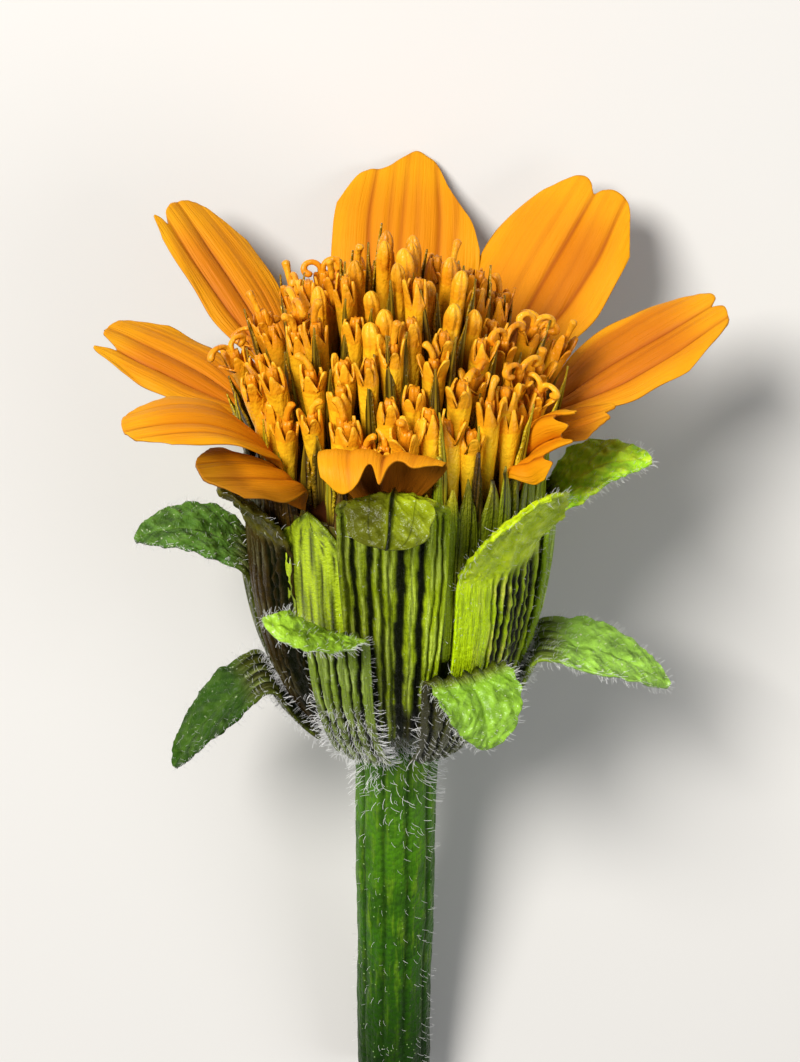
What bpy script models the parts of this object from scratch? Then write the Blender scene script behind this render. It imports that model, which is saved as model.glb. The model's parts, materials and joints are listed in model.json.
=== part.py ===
# A cut sunflowerweed flower: one daisy head on a short length of stem, lying on its side.
# Metres, +Z up. The flower is modelled upright on the axis of its stem, with the ring where
# the ray petals leave the head at height zero, under an empty that lays the whole flower down.

import math
import random
from dataclasses import dataclass

import bmesh
import bpy
from mathutils import Matrix, Vector

MM = 0.001
GAP = 0.3 * MM  # between one solid and the next

# The green cup round the base of the head
CUP_RADIUS = 7.6 * MM
CUP_DEPTH = 17.2 * MM
CUP_FULLNESS = 3.0  # how long the cup keeps its width before it rounds in to the stem
CUP_HEART_GAP = 0.5 * MM  # between the ring of bracts and the solid heart
BRACT_WALL = 0.5 * MM
LEAF_THICKNESS = 0.35 * MM
LEAF_TIP = 0.24 * MM  # width

NECK_HEIGHT = 1.4 * MM  # over which the heart narrows to the top of the stem

# The stem, from under the cup to the cut
STEM_TOP_RADIUS = 2.2 * MM
STEM_RADIUS = 2.05 * MM
STEM_CUT_RADIUS = 1.85 * MM
STEM_CUT_HEIGHT = -40.0 * MM
STEM_FLARE = 2.5 * MM
STEM_RIBS = 9
STEM_RIB_DEPTH = 0.08 * MM
STEM_SWAY = -0.15 * MM  # sideways drift of the cut from the axis of the head

# The disc: a domed floor in three parts, each with rings of florets and a scale between florets
DISC_FLOOR = -3.0 * MM
DISC_RIM_HEIGHT = -0.9 * MM
DISC_DOME = 4.1 * MM
DISC_RADIUS = 6.5 * MM
FLORET_RINGS = ((0.0, 1), (1.4, 6), (2.8, 12), (4.2, 19), (5.6, 26))  # radius in mm, florets
DISC_PARTS = {"disc_centre": (0, 1), "disc_middle": (2, 3), "disc_margin": (4,)}
RING_TURN = math.radians(137.5)
RING_STEP = 1.4 * MM
OPEN_FROM = 0.6  # share of the way to the rim from which the florets are open
FLORET_LENGTH = 6.3 * MM
FLORET_LENGTH_MARGIN = 5.5 * MM
FLORET_SUNK = 0.7 * MM
FLORET_ROOT_RADIUS = 0.33 * MM
FLORET_THROAT_RADIUS = 0.49 * MM
FLORET_WAIST = 0.42  # where the tube reaches its full width, over the floret's length
FLORET_MOUTH = 0.78  # where the tube ends and its lobes start
OPEN_LOBES = (0.88, 1.22)  # height of the lobes' tips over the length, spread over the throat
BUD_LOBES = (0.92, 0.8)
COLUMN_WIDTH = (0.5, 0.42)  # of the column in the throat, at its foot and top, over the throat
FLORET_LEAN = math.radians(12.0)
SCALE_LENGTH = 0.93  # of the florets beside it
SCALE_WIDTH = 0.62 * MM
SCALE_THICKNESS = 0.32 * MM
SCALE_TAPER = 0.7  # where the scale starts to narrow to its point
STYLE_ARM = 0.95 * MM
STYLE_THICKNESS = 0.22 * MM
STYLE_CURL = (52, -80)  # rise of an arm where the arms part and at its tip
STYLE_SUNK = 0.97  # where the arms part, over the floret's length

# The ray petals
RAY_ROOT_HEIGHT = -1.0 * MM
RAY_THICKNESS = 0.24 * MM
RAY_CLAW_WIDTH = 0.34  # over the petal's width
RAY_TIP_WIDTH = 0.84
RAY_NOTCH_WIDTH = 0.2  # over half of the petal's width

# The rise of the stem from its cut end to the head, as the flower lies on its side
LIE_PITCH = math.radians(15.8)

# Base colour as the photograph shows it, linear, and roughness
FINISHES = {
    "ray": ((0.80, 0.29, 0.008), 0.45),
    "disc": ((0.74, 0.30, 0.012), 0.5),
    "bract": ((0.22, 0.38, 0.04), 0.55),
    "cup": ((0.30, 0.45, 0.02), 0.5),
    "stem": ((0.07, 0.23, 0.02), 0.5),
}

SHARP_ANGLE = math.radians(40)
SEED = 7

RAY_STEPS = 90  # in the walk along a petal
RAY_GRID = (8, 6)  # rows along the blade, columns across: a groove on every third column
BRACT_GRID = (3, 6, 4)  # rows up the cup, rows along the leaf, columns across
STEM_GRID = (18, 7)  # points round the stem, rows along it


@dataclass
class Ray:
    """A ray petal. Angles are in degrees and sizes in mm."""

    azimuth: float  # from the right, as seen from above the head
    rise: tuple  # of the blade at its root and at its tip
    length: float  # of the blade
    width: float
    radius: float = 6.95  # of the ring of roots that it stands in
    claw: float = 1.1  # length of the upright foot of the petal
    sway: float = 0.0  # sideways turn from root to tip
    roll: float = 0.0
    skew: float = 0.0  # how much more the tip rises at one edge than in the middle
    curl: float = -20.0  # from edge to edge
    ridge: float = 0.14  # height of the folds along the blade
    shoulders: tuple = (0.26, 0.26)  # how much shorter the petal is at its edges, over its length
    blunt: float = 2.4
    notch: float = 0.05  # depth of the notch in the tip, over the length
    at: float = 0.0  # place of the notch, from -1 at one edge to 1 at the other


@dataclass
class Bract:
    """A bract: a ribbed foot that lies on the cup, and a leaf that bends away from it."""

    azimuth: float
    leaves: float  # height at which the leaf leaves the cup
    length: float  # of the leaf
    width: float
    rise: tuple  # of the leaf where it starts and at its tip
    foot: float = 3.4  # width at the root
    sway: float = 0.0
    roll: float = 0.0
    curl: float = 16.0
    blunt: float = 0.0  # from a pointed leaf at 0 to a broad round one at 1


RAYS = {
    "ray_back": Ray(
        88, (50, 36), 11.4, 6.8, sway=-3, curl=-24, shoulders=(0.42, 0.24), blunt=2.2, notch=0.0
    ),
    "ray_back_right": Ray(
        51.5, (41.5, 39), 11.5, 6.7, sway=-3, roll=8, shoulders=(0.24, 0.32), blunt=3.0, at=0.0
    ),
    "ray_right": Ray(14.5, (30, 26), 10.1, 5.5, roll=10, curl=-16, blunt=2.6, at=0.1),
    "ray_right_under": Ray(-10, (24, 24), 3.2, 3.4, claw=1.4, blunt=2.0, notch=0.04),
    "ray_front_right": Ray(
        -36, (48, 26), 3.5, 3.6, radius=7.0, claw=1.85, roll=70, curl=-10, ridge=0.26,
        shoulders=(0.36, 0.2)
    ),
    "ray_front": Ray(
        -94, (84, -34), 4.9, 5.8, claw=2.3, roll=-11, skew=46, notch=0.1, shoulders=(0.14, 0.3)
    ),
    "ray_front_left": Ray(
        -129.8, (26, 4), 4.5, 4.1, radius=7.24, claw=1.65, sway=-30, roll=-6, curl=-40, blunt=2.0
    ),
    "ray_left_low": Ray(
        -146.2, (46, -12), 7.7, 4.4, radius=6.8, claw=2.5, sway=-26, curl=-30, notch=0.02
    ),
    "ray_left": Ray(163, (30, 16), 8.1, 4.7, roll=-8, blunt=2.6, notch=0.09, at=0.45),
    "ray_back_left": Ray(
        134.2, (45, 32.5), 11.0, 4.5, curl=-24, shoulders=(0.28, 0.18), notch=0.07, at=0.6
    ),
}

UPPER_BRACT_ROOT = -14.6
UPPER_BRACTS = {
    "upper_bract_front": Bract(-91, -0.9, 5.6, 5.2, (90, -66), curl=-60, blunt=1.0),
    "upper_bract_front_right": Bract(-46, -4.4, 6.6, 5.2, (82, 37), curl=-20, blunt=0.4),
    "upper_bract_right": Bract(-2, -4.0, 5.7, 4.4, (60, 0), roll=10, curl=20),
    "upper_bract_back_right": Bract(44, -4.0, 5.0, 5.0, (66, 20)),
    "upper_bract_back": Bract(90, -4.0, 4.6, 5.2, (70, 24)),
    "upper_bract_back_left": Bract(136, -4.0, 5.0, 5.0, (66, 20)),
    "upper_bract_left": Bract(-178, -6.8, 5.9, 4.2, (46, -22), foot=2.7, roll=-10, curl=20),
    "upper_bract_front_left": Bract(-140, -3.8, 4.7, 4.0, (86, 30), foot=2.7, curl=-10),
}

LOWER_BRACT_ROOT = -15.6
LOWER_BRACTS = {
    "lower_bract_front": Bract(-65, -9.2, 4.4, 4.2, (0, -95), foot=2.6, curl=20),
    "lower_bract_right": Bract(-6, -11.2, 6.9, 4.0, (0, -36), foot=2.8, roll=10),
    "lower_bract_back_right": Bract(52, -11.4, 5.45, 4.0, (10, -40), foot=2.8, curl=12),
    "lower_bract_back_left": Bract(128, -11.4, 5.45, 4.0, (10, -40), foot=2.8, curl=12),
    "lower_bract_left": Bract(-166, -12.4, 6.8, 4.0, (-30, -60), foot=2.8, roll=-6),
    "lower_bract_front_left": Bract(
        -110, -6.8, 5.4, 3.2, (40, 20), foot=2.6, sway=-90, roll=-20, curl=-30
    ),
}


def smooth(x):
    x = min(max(x, 0.0), 1.0)
    return x * x * (3 - 2 * x)


def mix(a, b, share):
    return a + (b - a) * share


def cup_radius(height):
    """Radius of the cup's outer wall, a bell that narrows to the stem."""
    down = min(max(-height / CUP_DEPTH, 0.0), 0.999)
    return CUP_RADIUS * math.sqrt(1 - down**CUP_FULLNESS)


def off_cup(height, out):
    """Radius and height of the point that stands off the cup's wall, level with a height on it."""
    step = 0.05 * MM
    slope = (cup_radius(height + step) - cup_radius(height - step)) / (2 * step)
    lean = math.hypot(1, slope)
    return cup_radius(height) + out / lean, height - out * slope / lean


def disc_height(radius):
    """Height of the domed floor that the florets stand on."""
    return DISC_RIM_HEIGHT + DISC_DOME * (1 - (radius / DISC_RADIUS) ** 2)


def stem_radius(height):
    """Stem radius, flared just under the cup and tapering to the cut."""
    top = -CUP_DEPTH
    flare = smooth((height - top + STEM_FLARE) / STEM_FLARE)
    down = (top - height) / (top - STEM_CUT_HEIGHT)
    return mix(mix(STEM_RADIUS, STEM_CUT_RADIUS, down), STEM_TOP_RADIUS, flare)


def finish_of(slot):
    found = bpy.data.materials.get(slot)
    if found:
        return found
    colour, roughness = FINISHES[slot]
    made = bpy.data.materials.new(slot)
    made.use_nodes = True
    shader = made.node_tree.nodes["Principled BSDF"]
    shader.inputs["Base Color"].default_value = (*colour, 1)
    shader.inputs["Roughness"].default_value = roughness
    shader.inputs["Metallic"].default_value = 0
    return made


def add_object(name, mesh, parent, slot):
    """Links a mesh as a named part of the flower, shaded smooth but for its sharp edges."""
    mesh.materials.append(finish_of(slot))
    mesh.shade_smooth()
    mesh.set_sharp_from_angle(angle=SHARP_ANGLE)
    obj = bpy.data.objects.new(name, mesh)
    bpy.context.scene.collection.objects.link(obj)
    obj.parent = parent
    return obj


def mesh_from(name, points, faces):
    mesh = bpy.data.meshes.new(name)
    mesh.from_pydata(points, [], faces)
    made = bmesh.new()
    made.from_mesh(mesh)
    bmesh.ops.recalc_face_normals(made, faces=made.faces)
    made.to_mesh(mesh)
    made.free()
    return mesh


def ring_mesh(name, rings):
    """Closed mesh through a stack of rings of points, with a flat face at each end."""
    count = len(rings[0])
    points = [point for ring in rings for point in ring]
    faces = [tuple(range(count)), tuple(range(len(points) - count, len(points)))]
    for low in range(0, len(points) - count, count):
        for i in range(count):
            j = (i + 1) % count
            faces.append((low + i, low + j, low + count + j, low + count + i))
    return mesh_from(name, points, faces)


def circle(radius, height, count, turn=0.0):
    steps = [turn + 2 * math.pi * i / count for i in range(count)]
    return [Vector((radius * math.cos(a), radius * math.sin(a), height)) for a in steps]


def slab_mesh(name, grid, thickness):
    """Closed sheet of even thickness about a grid of points."""
    rows, columns = len(grid), len(grid[0])

    def normal(i, j):
        along = grid[min(i + 1, rows - 1)][j] - grid[max(i - 1, 0)][j]
        across = grid[i][min(j + 1, columns - 1)] - grid[i][max(j - 1, 0)]
        return along.cross(across).normalized()

    normals = [[normal(i, j) for j in range(columns)] for i in range(rows)]
    sides = []
    for way in (0.5, -0.5):
        sides += [
            grid[i][j] + normals[i][j] * way * thickness
            for i in range(rows)
            for j in range(columns)
        ]
    under = rows * columns
    faces = []
    for i in range(rows - 1):
        for j in range(columns - 1):
            a = i * columns + j
            quad = (a, a + 1, a + columns + 1, a + columns)
            faces.append(quad)
            faces.append(tuple(under + k for k in reversed(quad)))
    edge = list(range(columns))
    edge += [i * columns + columns - 1 for i in range(1, rows)]
    edge += [(rows - 1) * columns + j for j in range(columns - 2, -1, -1)]
    edge += [i * columns for i in range(rows - 2, 0, -1)]
    for k, a in enumerate(edge):
        b = edge[(k + 1) % len(edge)]
        faces.append((b, a, under + a, under + b))
    return mesh_from(name, sides, faces)


class Midline:
    """The line down the middle of a petal or bract, walked outwards from its upright root."""

    def __init__(self, azimuth, radius, height):
        self.azimuth = math.radians(azimuth)
        self.rise = math.pi / 2
        x, y = radius * math.cos(self.azimuth), radius * math.sin(self.azimuth)
        self.at = Vector((x, y, height))

    def walk(self, step, rise, sway):
        self.rise = rise
        self.azimuth += sway
        self.at = self.at + self.along() * step

    def along(self):
        level = math.cos(self.rise)
        x, y = level * math.cos(self.azimuth), level * math.sin(self.azimuth)
        return Vector((x, y, math.sin(self.rise)))

    def station(self, roll):
        """The point reached, with the directions across the blade and out of its upper face."""
        across = Vector((-math.sin(self.azimuth), math.cos(self.azimuth), 0))
        turned = across * math.cos(roll) + self.along().cross(across) * math.sin(roll)
        return self.at.copy(), turned, self.along().cross(turned)


def across_blade(station, half_width, curl, column):
    """A point across a blade bent to a curl, which is its whole angle from edge to edge."""
    at, across, face = station
    if abs(curl) < 1e-4:
        return at + across * half_width * column
    radius = half_width * 2 / curl
    angle = curl / 2 * column
    return at + across * radius * math.sin(angle) + face * radius * (1 - math.cos(angle))


def blade_row(station, half_width, curl, columns):
    steps = [2 * j / columns - 1 for j in range(columns + 1)]
    return [across_blade(station, half_width, curl, column) for column in steps]


def ray_width(share):
    """Half outline of a ray petal: a narrow claw that opens to a long oval blade."""
    opened = mix(RAY_CLAW_WIDTH, 1.0, smooth(share / 0.5))
    return opened * mix(1.0, RAY_TIP_WIDTH, smooth((share - 0.62) / 0.38))


def ray_end(column, ray):
    """Share of the petal's length that a column reaches: a round tip with a notch."""
    from_notch = (column - ray.at) / RAY_NOTCH_WIDTH
    round_off = ray.shoulders[column > 0] * abs(column) ** ray.blunt
    return 1 - round_off - ray.notch * math.exp(-(from_notch**2))


def ray_stations(ray, column):
    """Stations evenly along a petal, from its root to its tip, for one column of its blade."""
    roll, sway = math.radians(ray.roll), math.radians(ray.sway)
    length = (ray.length + ray.claw) * MM
    claw = ray.claw * MM / length
    start, end = ray.rise[0], ray.rise[1] + ray.skew * column
    line = Midline(ray.azimuth, ray.radius * MM, RAY_ROOT_HEIGHT)
    stations = [line.station(0)]
    for k in range(RAY_STEPS):
        share = (k + 0.5) / RAY_STEPS
        rise = math.radians(mix(start, end, smooth((share - claw) / (1 - claw))))
        rise = mix(math.pi / 2, rise, smooth(share / claw - 0.3))
        line.walk(length / RAY_STEPS, rise, sway / RAY_STEPS)
        stations.append(line.station(roll * smooth(share / 0.5)))
    return stations


def ray_grid(ray):
    rows, columns = RAY_GRID
    curl = math.radians(ray.curl)
    grid = [[] for _ in range(rows + 1)]
    for j in range(columns + 1):
        column = 2 * j / columns - 1
        stations = ray_stations(ray, column)
        for i, row in enumerate(grid):
            share = i / rows * ray_end(column, ray)
            half = ray.width * MM / 2 * ray_width(share)
            station = stations[round(share * RAY_STEPS)]
            point = across_blade(station, half, curl * smooth(share / 0.4), column)
            ridge = ray.ridge * MM * smooth(share / 0.3) * math.cos(3 * math.pi * column)
            row.append(point + station[2] * ridge)
    return grid


def leaf_width(share, blunt):
    """Half outline of a bract's leaf, from its neck to its tip."""
    pointed = max(math.sin(math.pi * mix(0.18, 1.0, share) ** 0.85), 0.0) ** 0.75
    broad = math.sqrt(max(1 - share**3.2, 0))
    return mix(pointed, broad, blunt)


def bract_grid(bract, root, layer):
    foot_rows, leaf_rows, columns = BRACT_GRID
    neck, curl = bract.width * MM / 2, math.radians(bract.curl)
    grid = []
    for i in range(foot_rows + 1):
        share = i / foot_rows
        radius, height = off_cup(mix(root, bract.leaves, share) * MM, layer)
        line = Midline(bract.azimuth, radius, height)
        half = mix(bract.foot * MM / 2, neck, smooth(share))
        grid.append(blade_row(line.station(0), half, 2 * half / radius, columns))
    wrap = 2 * neck / radius
    finer = 8
    steps = leaf_rows * finer
    for k in range(1, steps + 1):
        share = k / steps
        rise = math.radians(mix(*bract.rise, smooth(share)))
        turn = math.radians(bract.sway) * 2 * share / steps
        line.walk(bract.length * MM / steps, rise, turn)
        if k % finer:
            continue
        half = mix(neck, neck * leaf_width(share, bract.blunt), smooth(share * 3))
        station = line.station(math.radians(bract.roll) * smooth(share * 1.6))
        bend = mix(wrap, curl, smooth(share * 2))
        grid.append(blade_row(station, max(half, LEAF_TIP / 2), bend, columns))
    return grid


def add_stem(parent):
    around, rows = STEM_GRID
    top = cup_floor() - GAP
    rings = []
    for i in range(rows + 1):
        height = mix(STEM_CUT_HEIGHT, top, i / rows)
        sway = STEM_SWAY * smooth((top - height) / (top - STEM_CUT_HEIGHT))
        ring = []
        for k in range(around):
            angle = 2 * math.pi * k / around
            rib = STEM_RIB_DEPTH * math.cos(STEM_RIBS * angle)
            radius = stem_radius(height) + rib
            ring.append(Vector((radius * math.cos(angle) + sway, radius * math.sin(angle), height)))
        rings.append(ring)
    add_object("stem", ring_mesh("stem", rings), parent, "stem")


def cup_floor():
    """Height where the cup has narrowed to the top of the stem."""
    narrow = STEM_TOP_RADIUS / CUP_RADIUS
    return -CUP_DEPTH * (1 - narrow**2) ** (1 / CUP_FULLNESS)


def add_receptacle(parent):
    """The solid heart of the head, inside the ring of bracts."""
    around, rows = 24, 9
    floor = cup_floor()
    rings = []
    for i in range(rows + 1):
        height = mix(floor, DISC_FLOOR - GAP, 1 - (1 - i / rows) ** 1.6)
        inset = (BRACT_WALL / 2 + CUP_HEART_GAP) * smooth((height - floor) / NECK_HEIGHT)
        radius, height = off_cup(height, -inset)
        rings.append(circle(radius, height, around))
    rings[0] = circle(STEM_TOP_RADIUS, floor, around)
    add_object("receptacle", ring_mesh("receptacle", rings), parent, "cup")


def floor_mesh(name, inner, outer):
    """One part of the domed floor: a ring, or a plug where the inner radius is zero."""
    around = 36
    steps = [mix(inner, outer, k / 3) for k in range(4)]
    rings = [circle(r, disc_height(r), around) for r in steps if r > 0]
    rings += [circle(r, DISC_FLOOR, around) for r in reversed(steps) if r > 0]
    points = [point for ring in rings for point in ring]
    faces = []
    if inner > 0:
        rings.append(rings[0])
    for low in range(0, (len(rings) - 1) * around, around):
        for i in range(around):
            j = (i + 1) % around
            high = (low + around) % len(points)
            faces.append((low + i, low + j, high + j, high + i))
    if inner == 0:
        faces += [tuple(range(around)), tuple(range(len(points) - around, len(points)))]
    return mesh_from(name, points, faces)


def floret_mesh(name, length, is_open):
    """A tubular floret that stands on the origin: its tube, five lobes and the middle column."""
    throat = FLORET_THROAT_RADIUS
    lobe_height, spread = OPEN_LOBES if is_open else BUD_LOBES
    mouth = length * FLORET_MOUTH
    foot, top = COLUMN_WIDTH
    points = circle(FLORET_ROOT_RADIUS, -FLORET_SUNK, 5)
    points += circle(throat, length * FLORET_WAIST, 5)
    points += circle(throat, mouth, 5)
    points += circle(throat * spread, length * lobe_height, 5, math.pi / 5)
    points += circle(throat * foot, mouth * 0.97, 5)
    points += circle(throat * top, length * 0.96, 5)
    points.append(Vector((0, 0, length)))
    faces = [(4, 3, 2, 1, 0)]
    for i in range(5):
        j = (i + 1) % 5
        faces += [(i, j, 5 + j, 5 + i), (5 + i, 5 + j, 10 + j, 10 + i)]
        faces += [(10 + i, 10 + j, 15 + i), (10 + j, 20 + j, 15 + i)]
        faces += [(20 + j, 20 + i, 15 + i), (20 + i, 10 + i, 15 + i)]
        faces += [(20 + i, 20 + j, 25 + j, 25 + i), (25 + i, 25 + j, 30)]
    return mesh_from(name, points, faces)


def scale_mesh(name, length):
    """A pointed scale that stands on the origin and is keeled towards +X."""
    rings = []
    for height, share in ((-FLORET_SUNK, 0.85), (length * SCALE_TAPER, 1.0)):
        wide, deep = SCALE_WIDTH / 2 * share, SCALE_THICKNESS / 2
        corners = ((-deep, -wide), (deep, 0), (-deep, wide))
        rings.append([Vector((x, y, height)) for x, y in corners])
    points = rings[0] + rings[1] + [Vector((0, 0, length))]
    faces = [(0, 1, 2)]
    for i in range(3):
        j = (i + 1) % 3
        faces += [(i, j, 3 + j, 3 + i), (3 + i, 3 + j, 6)]
    return mesh_from(name, points, faces)


def style_mesh(name, base):
    """The two arms of a floret's style, curled out and down, as one strip from tip to tip."""
    steps = 3
    arm = [Vector((0, 0, base))]
    for k in range(steps):
        rise = math.radians(mix(*STYLE_CURL, k / (steps - 1)))
        step = STYLE_ARM / steps
        arm.append(arm[-1] + Vector((math.cos(rise) * step, 0, math.sin(rise) * step)))
    path = [Vector((-p.x, 0, p.z)) for p in reversed(arm[1:])] + arm
    rings = []
    for i, point in enumerate(path):
        tangent = (path[min(i + 1, len(path) - 1)] - path[max(i - 1, 0)]).normalized()
        over = Vector((-tangent.z, 0, tangent.x))
        thick = STYLE_THICKNESS * (0.4 if i in (0, len(path) - 1) else 0.6)
        corners = ((-0.5, -0.87), (1, 0), (-0.5, 0.87))
        rings.append([point + (over * a + Vector((0, b, 0))) * thick for a, b in corners])
    return ring_mesh(name, rings)


def standing_at(radius, azimuth):
    """Place on the domed floor, leaning outwards more towards the rim."""
    lean = FLORET_LEAN * radius / (FLORET_RINGS[-1][0] * MM)
    outwards = Matrix.Rotation(azimuth, 4, "Z")
    floor = Matrix.Translation((radius, 0, disc_height(radius)))
    return outwards @ floor @ Matrix.Rotation(lean, 4, "Y")


def ring_pieces(ring, chance):
    """The florets of one ring, their styles where they are open, and the scales between them."""
    distance, count = FLORET_RINGS[ring]
    share = distance / FLORET_RINGS[-1][0]
    is_open = share > OPEN_FROM
    pieces = []
    for k in range(count):
        azimuth = ring * RING_TURN + 2 * math.pi * (k + chance.uniform(-0.12, 0.12)) / count
        radius = (distance + chance.uniform(-0.06, 0.06)) * MM if distance else 0.0
        length = mix(FLORET_LENGTH, FLORET_LENGTH_MARGIN, share) * chance.uniform(0.93, 1.04)
        spin = Matrix.Rotation(chance.uniform(0, 2 * math.pi), 4, "Z")
        place = standing_at(radius, azimuth) @ spin
        pieces.append((floret_mesh("floret", length, is_open), place))
        if is_open:
            pieces.append((style_mesh("style", length * STYLE_SUNK), place))
        if distance:
            between = standing_at(radius, azimuth + math.pi / count)
            pieces.append((scale_mesh("scale", length * SCALE_LENGTH), between))
    return pieces


def add_disc(parent):
    """Each part of the disc is its floor joined with its florets, scales and forked styles."""
    chance = random.Random(SEED)
    half_step = (RING_STEP - GAP) / 2
    for part, rings in DISC_PARTS.items():
        inner = max(FLORET_RINGS[rings[0]][0] * MM - half_step, 0.0)
        outer = FLORET_RINGS[rings[-1]][0] * MM + half_step
        if rings[-1] == len(FLORET_RINGS) - 1:
            outer = DISC_RADIUS
        floor = add_object(part, floor_mesh(part, inner, outer), parent, "disc")
        standing = bpy.data.collections.new(part + "_standing")
        bpy.context.scene.collection.children.link(standing)
        for ring in rings:
            for mesh, place in ring_pieces(ring, chance):
                piece = bpy.data.objects.new(mesh.name, mesh)
                piece.matrix_world = place
                standing.objects.link(piece)
        join(floor, standing)


def join(obj, pieces):
    """Unions a collection of closed pieces into the object, then removes the collection."""
    union = obj.modifiers.new("union", "BOOLEAN")
    union.operation = "UNION"
    union.operand_type = "COLLECTION"
    union.collection = pieces
    union.solver = "EXACT"
    bpy.context.view_layer.update()
    graph = bpy.context.evaluated_depsgraph_get()
    joined = bpy.data.meshes.new_from_object(obj.evaluated_get(graph))
    obj.modifiers.clear()
    plain = obj.data
    obj.data = joined
    bpy.data.meshes.remove(plain)
    for piece in list(pieces.objects):
        bpy.data.meshes.remove(piece.data)
    bpy.data.collections.remove(pieces)


def lay_down(flower):
    """Turns the flower on to its back, and sets the middle of its underside on the origin."""
    flower.matrix_world = Matrix.Rotation(LIE_PITCH - math.pi / 2, 4, "X")
    bpy.context.view_layer.update()
    points = [
        child.matrix_world @ vertex.co
        for child in flower.children
        for vertex in child.data.vertices
    ]
    low = Vector([min(point[k] for point in points) for k in range(3)])
    high = Vector([max(point[k] for point in points) for k in range(3)])
    middle = (low + high) / 2
    moved = Matrix.Translation((-middle.x, -middle.y, -low.z))
    flower.matrix_world = moved @ flower.matrix_world
    bpy.context.view_layer.update()


def build():
    for old in list(bpy.data.objects):
        bpy.data.objects.remove(old)
    flower = bpy.data.objects.new("flower", None)
    bpy.context.scene.collection.objects.link(flower)
    add_stem(flower)
    add_receptacle(flower)
    add_disc(flower)
    for name, bract in UPPER_BRACTS.items():
        grid = bract_grid(bract, UPPER_BRACT_ROOT, 0.0)
        add_object(name, slab_mesh(name, grid, BRACT_WALL), flower, "bract")
    layer = BRACT_WALL / 2 + GAP + LEAF_THICKNESS / 2
    for name, bract in LOWER_BRACTS.items():
        grid = bract_grid(bract, LOWER_BRACT_ROOT, layer)
        add_object(name, slab_mesh(name, grid, LEAF_THICKNESS), flower, "bract")
    for name, ray in RAYS.items():
        add_object(name, slab_mesh(name, ray_grid(ray), RAY_THICKNESS), flower, "ray")
    lay_down(flower)


build()
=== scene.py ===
# Sunflowerweed: a cut daisy flower on a length of stem, lying on its back.
# Sizes are in millimetres on the flower's own axis: x to the right, z up the stem to the head,
# and height zero where the petals leave the head.

import json
import math
import random

import bmesh
import bpy
import numpy as np
from mathutils import Matrix, Vector

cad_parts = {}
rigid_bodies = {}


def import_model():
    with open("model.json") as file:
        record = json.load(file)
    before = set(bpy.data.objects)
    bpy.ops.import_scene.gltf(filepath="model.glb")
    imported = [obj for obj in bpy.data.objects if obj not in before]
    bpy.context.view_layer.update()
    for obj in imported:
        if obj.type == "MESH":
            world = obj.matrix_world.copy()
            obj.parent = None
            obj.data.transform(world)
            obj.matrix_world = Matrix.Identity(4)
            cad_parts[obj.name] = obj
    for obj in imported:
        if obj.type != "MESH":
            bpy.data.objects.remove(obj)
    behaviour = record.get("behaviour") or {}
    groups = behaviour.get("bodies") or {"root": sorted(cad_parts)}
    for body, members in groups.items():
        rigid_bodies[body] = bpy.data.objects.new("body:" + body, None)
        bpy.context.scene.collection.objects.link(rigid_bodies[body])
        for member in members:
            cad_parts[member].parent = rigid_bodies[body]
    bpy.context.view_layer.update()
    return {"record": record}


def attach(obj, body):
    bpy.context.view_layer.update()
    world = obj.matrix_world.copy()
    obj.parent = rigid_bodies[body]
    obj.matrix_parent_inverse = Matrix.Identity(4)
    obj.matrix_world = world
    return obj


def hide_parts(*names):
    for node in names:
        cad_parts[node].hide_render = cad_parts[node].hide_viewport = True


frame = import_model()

mm = 0.001
stemCut = next(m for m in frame["record"]["mounts"] if m["name"] == "stem_cut")
stemCutPlace = (-0.15, 0.0, -40.0)
upStem = -np.array(stemCut["axis"], float)
toRight = np.array([1.0, 0.0, 0.0])
flowerAxes = np.stack([toRight, np.cross(upStem, toRight), upStem])
flowerOrigin = np.array(stemCut["pos_m"], float) - mm * np.array(stemCutPlace) @ flowerAxes


def toWorld(points):
    return flowerOrigin + mm * np.asarray(points, float) @ flowerAxes



def smooth(x):
    x = np.clip(x, 0.0, 1.0)
    return x * x * (3 - 2 * x)


def mix(a, b, t):
    return a + (b - a) * t


def bump(x, middle, width):
    return np.exp(-(((x - middle) / width) ** 2))


def around(radius, azimuth, height):
    return (radius * math.cos(azimuth), radius * math.sin(azimuth), height)


def fullTurn(count):
    return np.arange(count) * 2 * math.pi / count


def circle(radius, turn, height):
    return np.stack([radius * np.cos(turn), radius * np.sin(turn), height + 0 * turn], -1)


def chanceOf(name):
    return np.random.default_rng(sum(map(ord, name)))


# node helpers
class Sock:
    # one output socket, with the operators that add Math nodes
    def __init__(self, graph, socket):
        self.graph = graph
        self.socket = socket

    def maths(self, operation, *values):
        return self.graph.add("ShaderNodeMath", {"operation": operation}, dict(enumerate(values)))

    def __add__(self, other):
        return self.maths("ADD", self, other)

    def __radd__(self, other):
        return self.maths("ADD", other, self)

    def __sub__(self, other):
        return self.maths("SUBTRACT", self, other)

    def __rsub__(self, other):
        return self.maths("SUBTRACT", other, self)

    def __mul__(self, other):
        return self.maths("MULTIPLY", self, other)

    def __rmul__(self, other):
        return self.maths("MULTIPLY", other, self)

    def __abs__(self):
        return self.maths("ABSOLUTE", self)


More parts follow.
